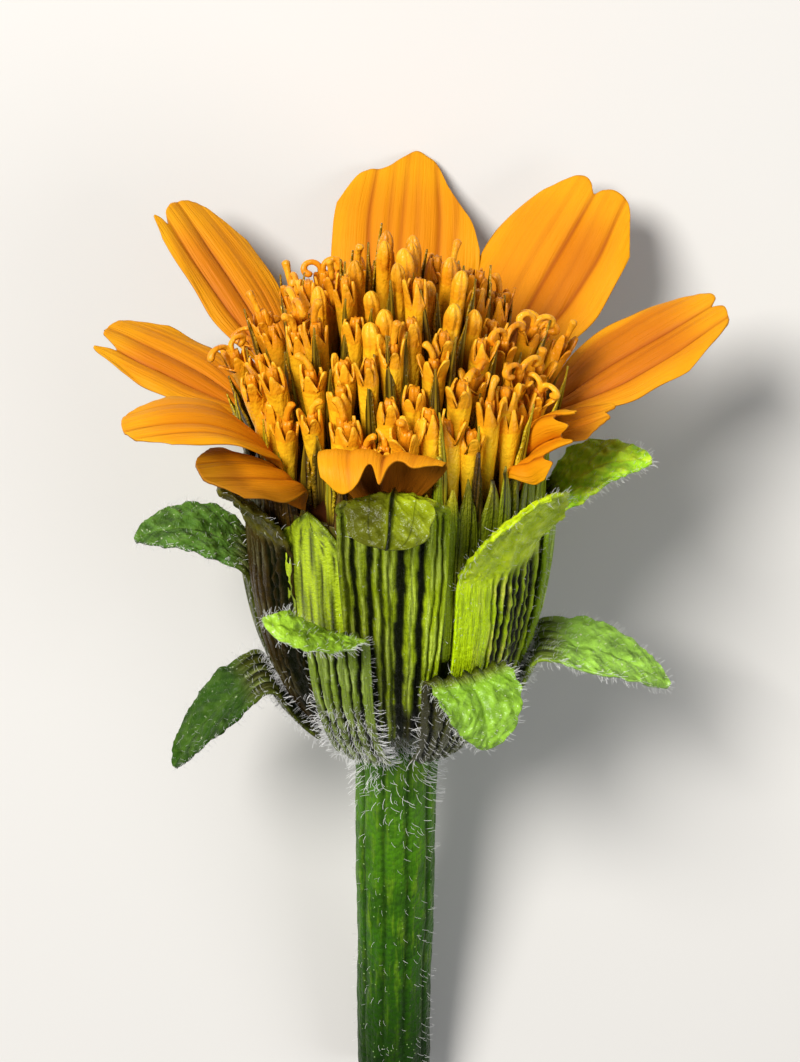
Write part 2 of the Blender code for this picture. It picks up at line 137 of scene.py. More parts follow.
class Graph:
    # a node tree, with a method for every kind of node that is used often
    def __init__(self, tree):
        self.tree = tree

    def give(self, slot, value):
        if isinstance(value, Sock):
            self.tree.links.new(value.socket, slot)
        else:
            slot.default_value = value

    def add(self, kind, settings=None, values=None, out=0):
        node = self.tree.nodes.new(kind)
        for key, value in (settings or {}).items():
            if key == "stops":
                elements = node.color_ramp.elements
                while len(elements) < len(value):
                    elements.new(0.5)
                for element, (at, colour) in zip(elements, value):
                    element.position = at
                    element.color = (*colour, 1)
            else:
                setattr(node, key, value)
        for key, value in (values or {}).items():
            self.give(node.inputs[key], value)
        return Sock(self, node.outputs[out]) if len(node.outputs) else node

    def mixed(self, factor, first, second):
        first, second = [c if isinstance(c, Sock) else (*c, 1) for c in (first, second)]
        settings = {"data_type": "RGBA", "clamp_factor": True}
        return self.add("ShaderNodeMix", settings, {0: factor, 6: first, 7: second}, out=2)

    def coated(self, colour, *coats):
        # coats laid over a colour one by one, each with the share that it covers
        for share, coat in coats:
            colour = self.mixed(share, colour, coat)
        return colour

    def over(self, scale, on):
        # where a pattern falls on a piece, by its Object place or its UV: three scales draw it out
        where = self.add("ShaderNodeTexCoord", out=on)
        if isinstance(scale, tuple):
            where, scale = self.add("ShaderNodeMapping", None, {0: where, 3: scale}), 1.0
        return {"Vector": where, "Scale": scale}

    def noise(self, scale, detail=2.0, rough=0.5, on="Object"):
        values = {**self.over(scale, on), "Detail": detail, "Roughness": rough}
        return self.add("ShaderNodeTexNoise", None, values)

    def cells(self, scale, feature="F1", on="Object"):
        return self.add("ShaderNodeTexVoronoi", {"feature": feature}, self.over(scale, on))

    def ramp(self, value, stops):
        return self.add("ShaderNodeValToRGB", {"stops": stops}, {0: value})

    def between(self, value, low, high):
        # 0 at low and 1 at high, eased
        values = {0: value, 1: low, 2: high}
        return self.add("ShaderNodeMapRange", {"interpolation_type": "SMOOTHSTEP"}, values)

    def marks(self, *names):
        return [self.add("ShaderNodeAttribute", {"attribute_name": name}, out=2) for name in names]

    def relief(self, height, depth):
        return self.add("ShaderNodeBump", None, {"Height": height, "Distance": depth, "Strength": 1.0})

    def named(self, name, kind="FLOAT"):
        return self.add("GeometryNodeInputNamedAttribute", {"data_type": kind}, {0: name})

    def combined(self, x, z):
        return self.add("ShaderNodeCombineXYZ", None, {0: x, 2: z})

    def vector(self, operation, *values, scale=None):
        values = dict(enumerate(values)) | ({} if scale is None else {"Scale": scale})
        return self.add("ShaderNodeVectorMath", {"operation": operation}, values)


def newFinish(name, looks, *values):
    # a material whose Principled shader takes plain values, or links for what changes over it
    material = bpy.data.materials.new(name)
    material.use_nodes = True
    graph = Graph(material.node_tree)
    shader = graph.tree.nodes["Principled BSDF"]
    inputs = looks(graph, *values) if callable(looks) else looks
    for key, value in inputs.items():
        graph.give(shader.inputs[key], value)
    return material


# meshes
def pressed(mesh):
    # a tip that would dip under the floor is pressed flat on it
    places = np.zeros(len(mesh.vertices) * 3, np.float32)
    mesh.vertices.foreach_get("co", places)
    places[2::3] = np.maximum(places[2::3], 2e-5)
    mesh.vertices.foreach_set("co", places)
    mesh.update()


def linked(name, data):
    thing = bpy.data.objects.new(name, data)
    bpy.context.scene.collection.objects.link(thing)
    return thing


def newPiece(name, points, faces, marks=None, uv=None, finish=None, world=True):
    mesh = bpy.data.meshes.new(name)
    mesh.from_pydata((toWorld(points) if world else points).tolist(), [], faces)
    for key, values in (marks or {}).items():
        values = np.asarray(values, np.float32)
        kind, field = ("FLOAT", "value") if values.ndim == 1 else ("FLOAT_VECTOR", "vector")
        mesh.attributes.new(key, kind, "POINT").data.foreach_set(field, values.ravel())
    if uv is not None:
        corner = np.zeros(len(mesh.loops), np.int32)
        mesh.loops.foreach_get("vertex_index", corner)
        layer = mesh.uv_layers.new(name="UVMap")
        layer.data.foreach_set("uv", np.asarray(uv, np.float32)[corner].ravel())
    mesh.shade_smooth()
    if world:
        pressed(mesh)
    if finish:
        mesh.materials.append(finish)
    return linked(name, mesh)


def keep(piece, slot, *nodes):
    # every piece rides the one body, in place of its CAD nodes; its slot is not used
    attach(piece, "root")
    if nodes:
        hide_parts(*nodes)


def unit(v):
    return v / (np.linalg.norm(v, axis=-1, keepdims=True) + 1e-12)


def twice(values):
    # the values of a grid's points, in a row, for a sheet's upper face and again for its lower one
    return np.concatenate([values.reshape(-1, *values.shape[2:])] * 2)


def bothFaces(**marks):
    return {key: twice(values) for key, values in marks.items()}


def sheet(grid, thickness):
    # a closed sheet about a grid: its points, its faces, 0 on the upper face and 1 under it, its normals
    rows, columns = grid.shape[:2]
    normal = unit(np.cross(np.gradient(grid, axis=0), np.gradient(grid, axis=1)))
    offset = normal * thickness[..., None] / 2
    points = np.concatenate([(grid + offset).reshape(-1, 3), (grid - offset).reshape(-1, 3)])
    under = rows * columns
    corner = (np.arange(rows - 1)[:, None] * columns + np.arange(columns - 1)[None]).ravel()
    top = np.stack([corner, corner + columns, corner + columns + 1, corner + 1], 1)
    low = top[:, ::-1] + under
    edge = list(range(columns))
    edge += [i * columns + columns - 1 for i in range(1, rows)]
    edge += [(rows - 1) * columns + j for j in range(columns - 2, -1, -1)]
    edge += [i * columns for i in range(rows - 2, 0, -1)]
    edge = np.array(edge)
    after = np.roll(edge, -1)
    side = np.stack([edge, after, under + after, under + edge], 1)
    faces = np.concatenate([top, low, side]).tolist()
    return points, faces, np.repeat([0.0, 1.0], under), normal


def sheetUv(column, along):
    return np.stack([twice((column + 1) / 2 + 0 * along), twice(along)], 1)


def rings(circles):
    # a closed skin through circles of points, each an array of the same length
    count, sides = len(circles), len(circles[0])
    faces = []
    for i in range(count - 1):
        for j in range(sides):
            k = (j + 1) % sides
            faces.append((i * sides + j, i * sides + k, (i + 1) * sides + k, (i + 1) * sides + j))
    faces.append(tuple(range(sides))[::-1])
    faces.append(tuple(range((count - 1) * sides, count * sides)))
    return np.concatenate(circles), faces


def ringsUv(sides, along):
    return np.stack([np.tile(np.arange(sides) / sides, len(along) // sides), along], 1)


def bendAcross(at, across, face, distance, curl, half):
    # points across a blade bent to a curl, its whole angle from edge to edge
    angle = curl / (2 * half + 1e-9) * distance
    level = distance * np.sinc(angle / np.pi)
    lift = distance * (1 - np.cos(angle)) / (angle + 1e-9)
    return at + across * level[..., None] + face * lift[..., None]


def sampled(table, at, knots):
    return np.stack([np.interp(at, knots, table[:, k]) for k in range(3)], -1)


def sideways(along, level, roll):
    # the direction across a line that rolls about itself
    return level * np.cos(roll) + np.cross(along, level) * np.sin(roll)


def hairMarks(points, dense, long, droop):
    way = unit(points * [1, 1, 0]) - [0, 0, droop]
    return {"hairDense": dense, "hairLong": long, "hairWay": way @ flowerAxes}


# petals: a rise is given at the root and at the tip, there with one angle or five across the blade
# shade paints a cast shadow on a ray, and underShade paints shade on its under face
petalSettings = {
    "rootHeight": -1.0, "thickness": 0.2, "edge": 0.09, "rows": 90, "columns": 64, "lines": 5, "steps": 150,
    "plain": {"radius": 6.95, "claw": 1.1, "roll": 0, "sway": 0, "curl": -20, "narrow": 0.34, "folds": (),
              "shade": 0, "underShade": 0},
    "rays": {
        "back": {
            "azimuth": 88, "rise": (50, 36), "length": 11.4, "width": 7.5, "sway": -3, "curl": -24,
            "tip": ((-1, 0.56), (-0.92, 0.65), (-0.74, 0.76), (-0.56, 0.856), (-0.45, 0.93), (-0.26, 0.975),
                    (-0.08, 1.0), (0.1, 0.975), (0.4, 0.92), (0.66, 0.91), (0.84, 0.87), (1, 0.76)),
            "grooves": ((-0.40, 0.9), (0.50, 1.0), (0.06, 0.7), (0.27, 0.5), (-0.68, 0.5), (-0.16, 0.4)),
            "core": (-0.45, 0.5, 0.25)},
        "backRight": {
            "azimuth": 51.5, "rise": (41.5, 39), "length": 11.5, "width": 7.3, "sway": -2, "roll": 8,
            "tip": ((-1, 0.76), (-0.75, 0.93), (-0.45, 0.985), (-0.16, 0.97), (-0.04, 0.945),
                    (0.08, 0.98), (0.3, 0.995), (0.6, 0.93), (0.85, 0.82), (1, 0.66)),
            "grooves": ((-0.06, 1.3), (-0.55, 1.1), (0.3, 0.3), (-0.3, 0.3)), "core": (-0.55, 0.0, 0.85)},
        "right": {
            "azimuth": 14.5, "rise": (30, 26), "length": 10.1, "width": 5.5, "roll": 10, "curl": -16,
            "tip": ((-1, 0.72), (-0.7, 0.93), (-0.35, 0.99), (-0.05, 0.985), (0.08, 0.95), (0.22, 0.985),
                    (0.5, 0.96), (0.8, 0.84), (1, 0.68)),
            "grooves": ((0.12, 1.2), (-0.42, 1.3), (0.6, 0.3), (-0.15, 0.3)), "core": (-0.42, 0.8, 1.0)},
        "rightUnder": {
            "azimuth": -10, "claw": 1.8, "rise": (24, 24), "length": 3.2, "width": 3.4,
            "tip": ((-1, 0.75), (-0.3, 0.97), (0, 0.92), (0.4, 1.0), (1, 0.75)),
            "grooves": ((-0.3, 0.6), (0.3, 0.6)), "core": (-1, 1, 0.8)},
        "frontRight": {
            "azimuth": -36, "claw": 1.85, "rise": (48, 26), "length": 3.5, "width": 4.4, "roll": 78,
            "curl": -10, "narrow": 0.26, "folds": ((-0.55, -80, 0.2), (-0.05, 80, 0.2), (0.45, -90, 0.25)),
            "tip": ((-1, 0.62), (-0.75, 0.80), (-0.5, 0.68), (-0.25, 1.0), (0, 0.80), (0.25, 0.96),
                    (0.5, 0.80), (0.72, 1.02), (1, 0.84)),
            "grooves": ((-0.5, 1.4), (0.0, 1.4), (0.5, 1.4)), "core": (-1, 1, 0.0)},
        "front": {
            "azimuth": -94, "claw": 2.3, "rise": (84, (-88, -72, -44, -32, -26)), "length": 4.9, "width": 5.8,
            "roll": -6,
            "tip": ((-1, 0.82), (-0.75, 0.93), (-0.4, 0.90), (-0.16, 0.80), (0.0, 0.96), (0.12, 0.84),
                    (0.6, 0.86), (1, 0.78)),
            "grooves": ((0.02, 1.5), (-0.5, 0.5), (0.5, 0.4)), "core": (0.0, 0.6, 0.2), "underShade": 0.62},
        "frontLeft": {
            "azimuth": -131, "radius": 7.2, "claw": 1.9, "rise": (30, 4), "length": 4.7, "width": 4.5,
            "sway": -30, "roll": -6, "curl": -40,
            "tip": ((-1, 0.78), (-0.5, 0.96), (0, 1.0), (0.5, 0.96), (1, 0.78)),
            "grooves": ((-0.3, 0.8), (0.35, 0.8)), "core": (-1, 1, 0.3), "shade": 0.55},
        "leftLow": {
            "azimuth": -145, "radius": 6.8, "claw": 2.5, "rise": (46, -12), "length": 7.7, "width": 4.5,
            "sway": -26, "roll": -2, "curl": -30,
            "tip": ((-1, 0.74), (-0.6, 0.92), (0, 0.99), (0.4, 0.975), (0.75, 0.92), (1, 0.8)),
            "grooves": ((0.25, 1.4), (0.6, 0.7), (-0.4, 0.4)), "core": (-0.3, 0.5, 0.4)},
        "left": {
            "azimuth": 163, "rise": (30, 16), "length": 8.1, "width": 4.7, "roll": -8,
            "tip": ((-1, 0.74), (-0.7, 0.92), (-0.3, 0.99), (0.2, 0.985), (0.42, 0.89), (0.55, 0.93),
                    (0.72, 1.0), (0.86, 0.95), (1, 0.8)),
            "grooves": ((0.4, 1.4), (-0.15, 1.1), (-0.6, 0.3)), "core": (-0.1, 0.45, 0.8)},
        "backLeft": {
            "azimuth": 134.2, "rise": (45, 32.5), "length": 11.0, "width": 4.5, "curl": -24,
            "tip": ((-1, 0.72), (-0.7, 0.9), (-0.35, 0.97), (0, 0.99), (0.3, 0.985), (0.48, 0.96),
                    (0.6, 0.91), (0.72, 0.95), (0.85, 0.97), (1, 0.86)),
            "grooves": ((0.52, 1.2), (0.0, 1.1), (-0.5, 0.3)), "core": (0.0, 0.5, 0.8)},
    },
}


def petalLooks(g):
    along, across, groove, under, core, shade = g.marks("along", "across", "groove", "under", "core", "shade")
    veins, patches = g.noise((46, 3, 1), 3.0, 0.6, on="UV"), g.noise((3, 5, 1), on="UV")
    rim = g.between(abs(across), 0.5, 1.0) * 0.7 + g.between(along, 0.72, 1.0) * 0.8
    colour = g.coated(
        g.mixed(g.between(along, 0.1, 0.7), (0.64, 0.190, 0.002), (0.69, 0.250, 0.003)),
        (rim * g.between(patches, 0.15, 0.6), (0.75, 0.340, 0.004)),
        (core * g.between(patches, -0.3, 0.5), (0.54, 0.155, 0.002)),
        (g.between(veins, 0.40, 0.75) * 0.16, (0.52, 0.145, 0.003)),
        # grooves darker: partly their own deeper orange, partly painted shade in the crease
        (groove * 0.85, (0.34, 0.075, 0.002)),
        # the under face darker: partly its own duller orange, partly painted shade
        (under * 0.6, (0.36, 0.100, 0.003)),
        # painted shade: a cast shadow, and shade on the under face of the front ray
        (shade, (0.11, 0.028, 0.002)))
    return {"Base Color": colour, "Roughness": 0.44 + veins * 0.16, "Normal": g.relief(veins, 0.00007),
            "Specular IOR Level": 0.12}


def walkPetal(ray, line):
    # a line along a petal, out of the cup and over, with the directions across it and off its face
    steps = petalSettings["steps"]
    azimuth, rise = math.radians(ray["azimuth"]), math.pi / 2
    total = ray["length"] + ray["claw"]
    claw = ray["claw"] / total
    start, end = ray["rise"]
    end = end[line] if isinstance(end, tuple) else end
    at = np.array(around(ray["radius"], azimuth, petalSettings["rootHeight"]))
    table = []
    for k in range(steps + 1):
        share = k / steps
        along = np.array(around(math.cos(rise), azimuth, math.sin(rise)))
        level = np.array([-math.sin(azimuth), math.cos(azimuth), 0.0])
        across = sideways(along, level, math.radians(ray["roll"]) * float(smooth(share / 0.5)))
        table.append((at.copy(), across, np.cross(along, across)))
        middle = share + 0.5 / steps
        bent = float(smooth((middle - claw) / (1 - claw)))
        rise = math.radians(mix(start, end, bent))
        rise = float(mix(math.pi / 2, rise, smooth(middle / claw - 0.3)))
        azimuth += math.radians(ray["sway"]) / steps
        at = at + np.array(around(math.cos(rise), azimuth, math.sin(rise))) * total / steps
    return [np.array([row[k] for row in table]) for k in range(3)]


def throughKnots(knots, x):
    # a smooth curve through the knots
    at, value = np.array(knots, float).T
    slope = np.gradient(value, at)
    i = np.clip(np.searchsorted(at, x, "right") - 1, 0, len(at) - 2)
    wide = at[i + 1] - at[i]
    t = np.clip((x - at[i]) / wide, 0, 1)
    start, end = t * (1 - t) ** 2 * wide * slope[i], t * t * (1 - t) * wide * slope[i + 1]
    return mix(value[i], value[i + 1], smooth(t)) + start - end


def petalGrooves(ray, column, share, opened):
    # how far each point lies in a groove, and how deep the blade dips there
    groove, dip = np.zeros_like(share), np.zeros_like(share)
    fade = opened * (1 - 0.55 * smooth((share - 0.72) / 0.28))
    for place, depth in ray["grooves"]:
        drift = place * mix(0.8, 1.0, smooth(share * 1.5)) + 0.03 * np.sin(3.5 * share + place * 9)
        groove = np.maximum(groove, bump(column, drift, 0.045) * min(depth, 1.2) * fade)
        dip -= bump(column, drift, 0.06) * depth * 0.09 * fade
        dip -= bump(column, drift, 0.20) * depth * 0.19 * fade
    return np.clip(groove, 0, 1), dip


def petalTurn(ray, column, share):
    # how far the blade has turned at each column: its curl, and its folds as steps
    turn = math.radians(ray["curl"]) * smooth(share / 0.4) * column / 2
    for place, angle, wide in ray["folds"]:
        crease = smooth((column - place) / wide + 0.5) - smooth(-place / wide + 0.5)
        turn = turn + math.radians(angle) * smooth(share / 0.3) * crease
    return turn


def makePetal(name, ray, finish):
    s, rows, columns = petalSettings, petalSettings["rows"], petalSettings["columns"]
    ray = {**s["plain"], **ray}
    chance = chanceOf(name)
    column = np.linspace(-1, 1, columns + 1)[None, :]
    row = np.linspace(0, 1, rows + 1)[:, None]
    side = np.abs(column)
    share = row * throughKnots(ray["tip"], column)
    width = mix(ray["narrow"], 1.0, smooth(share / 0.5))
    half = ray["width"] / 2 * width * mix(1.0, 0.84, smooth((share - 0.66) / 0.34))
    walks = [walkPetal(ray, line) for line in range(s["lines"])]
    nearest = (column + 1) * (s["lines"] - 1) / 2
    weights = [np.clip(1 - np.abs(nearest - line), 0, 1)[..., None] for line in range(s["lines"])]
    knots = np.linspace(0, 1, s["steps"] + 1)
    at, across, face = (
        sum(w * sampled(walk[k], share, knots) for w, walk in zip(weights, walks)) for k in range(3))
    turn = petalTurn(ray, column, share)
    between = (turn[:, 1:] + turn[:, :-1]) / 2
    ways = (np.cos(between), np.sin(between))
    level, lift = (np.pad(np.cumsum(way, 1), ((0, 0), (1, 0))) * 2 / columns for way in ways)
    level, lift = ((v - v[:, columns // 2, None]) * half for v in (level, lift))
    opened = smooth(share / 0.25)
    groove, dip = petalGrooves(ray, column, share, opened)
    ripple = 0.10 * np.sin(row * 7 + chance.uniform(0, 6)) * side**2.5
    ripple = ripple + 0.05 * np.sin(row * 17 + column * 3 + chance.uniform(0, 6)) * side**4
    fineRidge = 0.011 * np.cos(column * 36 + 2 * np.sin(row * 4))
    lift = lift + dip + (ripple + fineRidge) * opened
    grid = at + across * level[..., None] + face * lift[..., None]
    thin = mix(s["thickness"], s["edge"], smooth((side - 0.6) / 0.4)) * mix(1, 0.6, smooth((row - 0.8) / 0.2))
    points, faces, under, _ = sheet(grid, thin)
    first, last, strength = ray["core"]
    core = smooth((column - first) / 0.16 + 0.5) * smooth((last - column) / 0.16 + 0.5) * strength
    core = core * (1 - smooth((share - 0.66) / 0.3))
    # painted shade: a cast shadow over the outer part and along one edge, and shade on the under face
    shade = ray["shade"] * np.maximum(smooth((share - 0.62) / 0.16), smooth((column - 0.5) / 0.4))
    marks = bothFaces(along=share, across=column + 0 * share, groove=groove, core=core)
    marks |= {"under": under, "shade": np.maximum(twice(shade), ray["underShade"] * under)}
    return newPiece(name, points, faces, marks, sheetUv(column, share), finish)


petalOrange = newFinish("petalOrange", petalLooks)
for rayName, ray in petalSettings["rays"].items():
    nodeName = "ray_" + "".join("_" + c.lower() if c.isupper() else c for c in rayName)
    keep(makePetal("petal_" + rayName, ray, petalOrange), "ray", nodeName)
print("petals made")


# bracts of the cup
cupSettings = {"radius": 7.6, "depth": 17.2, "fullness": 3.0, "stemTop": 2.2}


def cupRadius(height):
    down = np.clip(-np.asarray(height, float) / cupSettings["depth"], 0.0, 0.999)
    return cupSettings["radius"] * np.sqrt(1 - down ** cupSettings["fullness"])


def offCup(height, out):
    step = 0.05
    slope = (cupRadius(height + step) - cupRadius(height - step)) / (2 * step)
    lean = np.hypot(1, slope)
    return cupRadius(height) + out / lean, height - out * slope / lean


# grooves are (place across, width in mm, depth); shades are painted shade from the left edge to the right
bractSettings = {
    "footRows": 40, "leafRows": 60, "columns": 90, "columnsBehind": 50, "ribWidth": 0.66, "grooveDepth": 0.24,
    "plain": {"foot": 3.4, "sway": 0, "roll": 0, "curl": 16, "wide": 1.0, "blunt": 0.0, "square": 4.2,
              "leafy": 0.02, "midrib": 0.12, "veined": (), "hairy": 1.0, "footHairs": 1, "gloss": 0.32,
              "shade": (0, 0), "tipShade": 0, "footShade": 0},
    "upper": {
        "root": -14.6, "layer": 0.0, "wall": 0.42,
        "plain": {"leaves": -4, "length": 5, "width": 5, "rise": (66, 20),
                  "leaf": (0.22, 0.42, 0.05), "rib": (0.30, 0.46, 0.02)},
        "bracts": {
            "front": {
                "azimuth": -91, "leaves": -0.9, "length": 5.5, "width": 5.2, "rise": (90, -66), "curl": -60,
                "foot": 3.6, "blunt": 1.0, "wide": 0.76, "square": 12, "sway": -9, "tipCurl": 6,
                "leaf": (0.28, 0.35, 0.005), "rib": (0.44, 0.60, 0.008), "gloss": 0.24, "hairy": 0.02,
                "footHairs": 0.6, "shade": (0.60, 0.0), "leafShade": (1.5, -0.5), "tipShade": 0.38,
                "footShade": 0.95, "midrib": 0,
                "veined": ((0.03, 0.10, 1.1), (0.55, 0.04, 0.5), (-0.5, 0.04, 0.5)),
                "grooves": ((-0.88, 0.12, 0.8), (-0.69, 0.16, 1.1), (-0.43, 0.17, 1.1), (-0.22, 0.12, 0.9),
                            (-0.05, 0.08, 0.7), (0.13, 0.27, 1.4), (0.33, 0.06, 0.5), (0.52, 0.20, 1.2),
                            (0.74, 0.06, 0.7), (0.88, 0.07, 0.8))},
            "front_right": {
                "azimuth": -48, "leaves": -4.4, "length": 6.0, "width": 5.3, "rise": (80, 42), "curl": -34,
                "foot": 4.4, "blunt": 0.9, "leafy": -0.14, "leaf": (0.48, 0.66, 0.006),
                "rib": (0.60, 0.86, 0.006), "gloss": 0.22, "hairy": 0.25, "shade": (-0.1, 0.35),
                "grooves": ((-0.55, 0.05, 0.3), (-0.28, 0.08, 0.6), (-0.10, 0.15, 1.0), (0.08, 0.19, 1.2),
                            (0.27, 0.18, 1.2), (0.46, 0.22, 1.3), (0.66, 0.24, 1.4), (0.85, 0.24, 1.4))},
            "right": {
                "azimuth": -2, "length": 5.7, "width": 4.4, "rise": (60, 0), "roll": 10, "curl": 20,
                "leaf": (0.46, 0.90, 0.03), "gloss": 0.12},
            "back_right": {"azimuth": 44},
            "back": {"azimuth": 90, "length": 4.6, "width": 5.2, "rise": (70, 24)},
            "back_left": {"azimuth": 136},
            "left": {
                "azimuth": -178, "leaves": -6.8, "length": 5.9, "width": 4.2, "rise": (46, -22), "foot": 2.7,
                "roll": -10, "curl": 20, "leaf": (0.065, 0.155, 0.018), "rib": (0.06, 0.075, 0.006),
                "gloss": 0.14},
            "front_left": {
                "azimuth": -144, "leaves": -3.8, "length": 4.6, "width": 3.6, "rise": (86, 30), "foot": 2.7,
                "curl": -10, "blunt": 0.6, "leaf": (0.075, 0.072, 0.003), "rib": (0.075, 0.040, 0.003),
                "gloss": 0.10, "hairy": 0.12, "shade": (0.45, 0.95),
                "grooves": ((-0.75, 0.07, 0.6), (-0.42, 0.07, 0.6), (-0.10, 0.10, 0.9), (0.20, 0.14, 1.1),
                            (0.45, 0.16, 1.3), (0.68, 0.20, 1.4), (0.90, 0.2, 1.4))},
        },
    },
    "lower": {
        "root": -15.6, "layer": 0.72, "wall": 0.3,
        "plain": {"leaves": -11.4, "length": 5.45, "width": 4.0, "foot": 2.8, "rise": (10, -40),
                  "leaf": (0.20, 0.42, 0.05), "rib": (0.26, 0.42, 0.04)},
        "bracts": {
            "front": {
                "azimuth": -65, "leaves": -9.2, "length": 4.4, "width": 4.2, "foot": 2.6, "rise": (0, -95),
                "curl": 20, "leaf": (0.19, 0.37, 0.025), "rib": (0.42, 0.60, 0.02), "shade": (0.95, 0.8),
                "leafShade": (0, 0), "footHairs": 0.3},
            "right": {
                "azimuth": -6, "leaves": -11.2, "length": 6.9, "rise": (0, -36), "roll": 10,
                "leaf": (0.25, 0.47, 0.055), "rib": (0.34, 0.50, 0.04)},
            "back_right": {"azimuth": 52, "curl": 12},
            "back_left": {"azimuth": 128, "curl": 12},
            "left": {
                "azimuth": -166, "leaves": -12.4, "length": 6.8, "rise": (-30, -60), "roll": -6,
                "leaf": (0.024, 0.072, 0.004), "rib": (0.10, 0.13, 0.012), "gloss": 0.10, "hairy": 0.7},
            "front_left": {
                "azimuth": -110, "leaves": -6.8, "length": 5.4, "width": 3.2, "foot": 2.6, "rise": (40, 20),
                "sway": -90, "roll": -20, "curl": -30, "leaf": (0.26, 0.46, 0.025), "rib": (0.30, 0.44, 0.03),
                "grooves": ((-0.70, 0.09, 1.0), (-0.35, 0.07, 0.8), (-0.05, 0.10, 1.1), (0.30, 0.07, 0.9),
                            (0.62, 0.12, 1.2))},
        },
    },
}


def tinted(colour, times, more=(0, 0, 0)):
    return tuple(min(1, c * times + rest) for c, rest in zip(colour, more))


def bractLooks(g, leafColour, ribColour, gloss):
    groove, leaf, vein, dark, shine = g.marks("groove", "leaf", "vein", "dark", "shine")
    streaks = g.noise((30, 7, 1), 4.0, 0.65, on="UV")
    patches, grain, paintedGlints = g.noise(420, 3.0, 0.6), g.noise(3000, 3.0, 0.6), g.noise(5200, 1.0)
    quilt = g.cells(1500.0, "SMOOTH_F1")
    pale = tinted(leafColour, 1.6, (0.03, 0.03, 0.008))
    blade = g.coated(
        g.mixed(g.between(patches, 0.25, 0.62), tinted(leafColour, 0.45), leafColour),
        # paler on the tops of the quilt's bumps and on the grain: partly pale papillae, partly painted
        # highlight
        (g.between(quilt, 0.55, 0.2) * 0.55, pale),
        (g.between(grain, 0.55, 0.75) * 0.5, pale),
        (vein * 0.4, pale))
    ribs = g.coated(
        g.mixed(g.between(streaks, 0.42, 0.72) * 0.6, ribColour, tinted(ribColour, 0.35)),
        # painted highlight: a pale line along the edges of the grooves
        (shine * 0.9, tinted(ribColour, 1.2, (0.28, 0.30, 0.14))))
    colour = g.coated(
        g.mixed(leaf, ribs, blade),
        # painted glints: white specks of painted highlight, fewer where the bract is less glossy
        (g.between(paintedGlints, 0.70, 0.76) * (0.2 + 1.7 * gloss), (0.78, 0.84, 0.56)),
        # painted shade, down to near black
        (dark, (0.030, 0.020, 0.003)),
        # grooves painted near black: painted shade in the creases
        (groove, (0.006, 0.008, 0.001)))
    height = grain * 0.5 + quilt * leaf * -1.6 + streaks * (1 - leaf) * 1.6
    return {"Base Color": colour, "Roughness": 0.18 + grain * 0.22, "Normal": g.relief(height, 0.00026),
            "Specular IOR Level": gloss}


def leafWidth(share, blunt, square):
    pointed = np.maximum(np.sin(np.pi * mix(0.18, 1.0, share) ** 0.85), 0.0) ** 0.75
    return mix(pointed, np.sqrt(np.maximum(1 - share**square, 0)), blunt)


def evened(path, knots, even, reach=0.35):
    # the path at even steps, with its corners smoothed over the reach
    path = sampled(path, even, knots)
    spread = max(3, int(reach / (even[1] - even[0])))
    pad = 2 * spread
    kernel = bump(np.arange(-pad, pad + 1), 0, spread)
    kernel /= kernel.sum()
    path = np.concatenate([2 * path[:1] - path[pad:0:-1], path, 2 * path[-1:] - path[-2:-pad - 2:-1]])
    return np.stack([np.convolve(path[:, k], kernel, "valid") for k in range(3)], -1)


def walkBract(bract, group):
    # the middle line up the cup and out along the leaf, with the directions across it and off its face
    upCup, out, evenCount = 60, 120, 400
    radius, height = offCup(np.linspace(group["root"], bract["leaves"], upCup), group["layer"])
    azimuth = math.radians(bract["azimuth"])
    line = [around(r, azimuth, h) for r, h in zip(radius, height)]
    turns, rolls = [azimuth] * upCup, [0.0] * upCup
    at = np.array(line[-1])
    for k in range(1, out + 1):
        share = k / out
        rise = math.radians(float(mix(*bract["rise"], smooth(share))))
        azimuth += math.radians(bract["sway"]) * 2 * share / out
        at = at + bract["length"] / out * np.array(around(math.cos(rise), azimuth, math.sin(rise)))
        line.append(tuple(at))
        turns.append(azimuth)
        rolls.append(math.radians(bract["roll"]) * float(smooth(share * 1.6)))
    line = np.array(line)
    lengths = np.concatenate([[0], np.cumsum(np.linalg.norm(np.diff(line, axis=0), axis=1))])
    foot, end = lengths[upCup - 1], lengths[-1]
    even = np.linspace(0, end, evenCount)
    path = evened(line, lengths, even)
    turn, roll = np.interp(even, lengths, turns), np.interp(even, lengths, rolls)
    along = unit(np.gradient(path, axis=0))
    across = sideways(along, np.stack([-np.sin(turn), np.cos(turn), 0 * turn], -1), roll[:, None])
    face = unit(np.cross(along, across))
    upFoot = np.linspace(0, foot, bractSettings["footRows"] + 1)[:-1]
    stations = np.concatenate([upFoot, np.linspace(foot, end, bractSettings["leafRows"] + 1)])
    at, across, face = (sampled(table, stations, even) for table in (path, across, face))
    footShare = np.clip(stations / foot, 0, 1)
    leafShare = np.clip((stations - foot) / (end - foot), 0, 1)
    return at, unit(across), unit(face), footShare[:, None], leafShare[:, None], radius[-1]


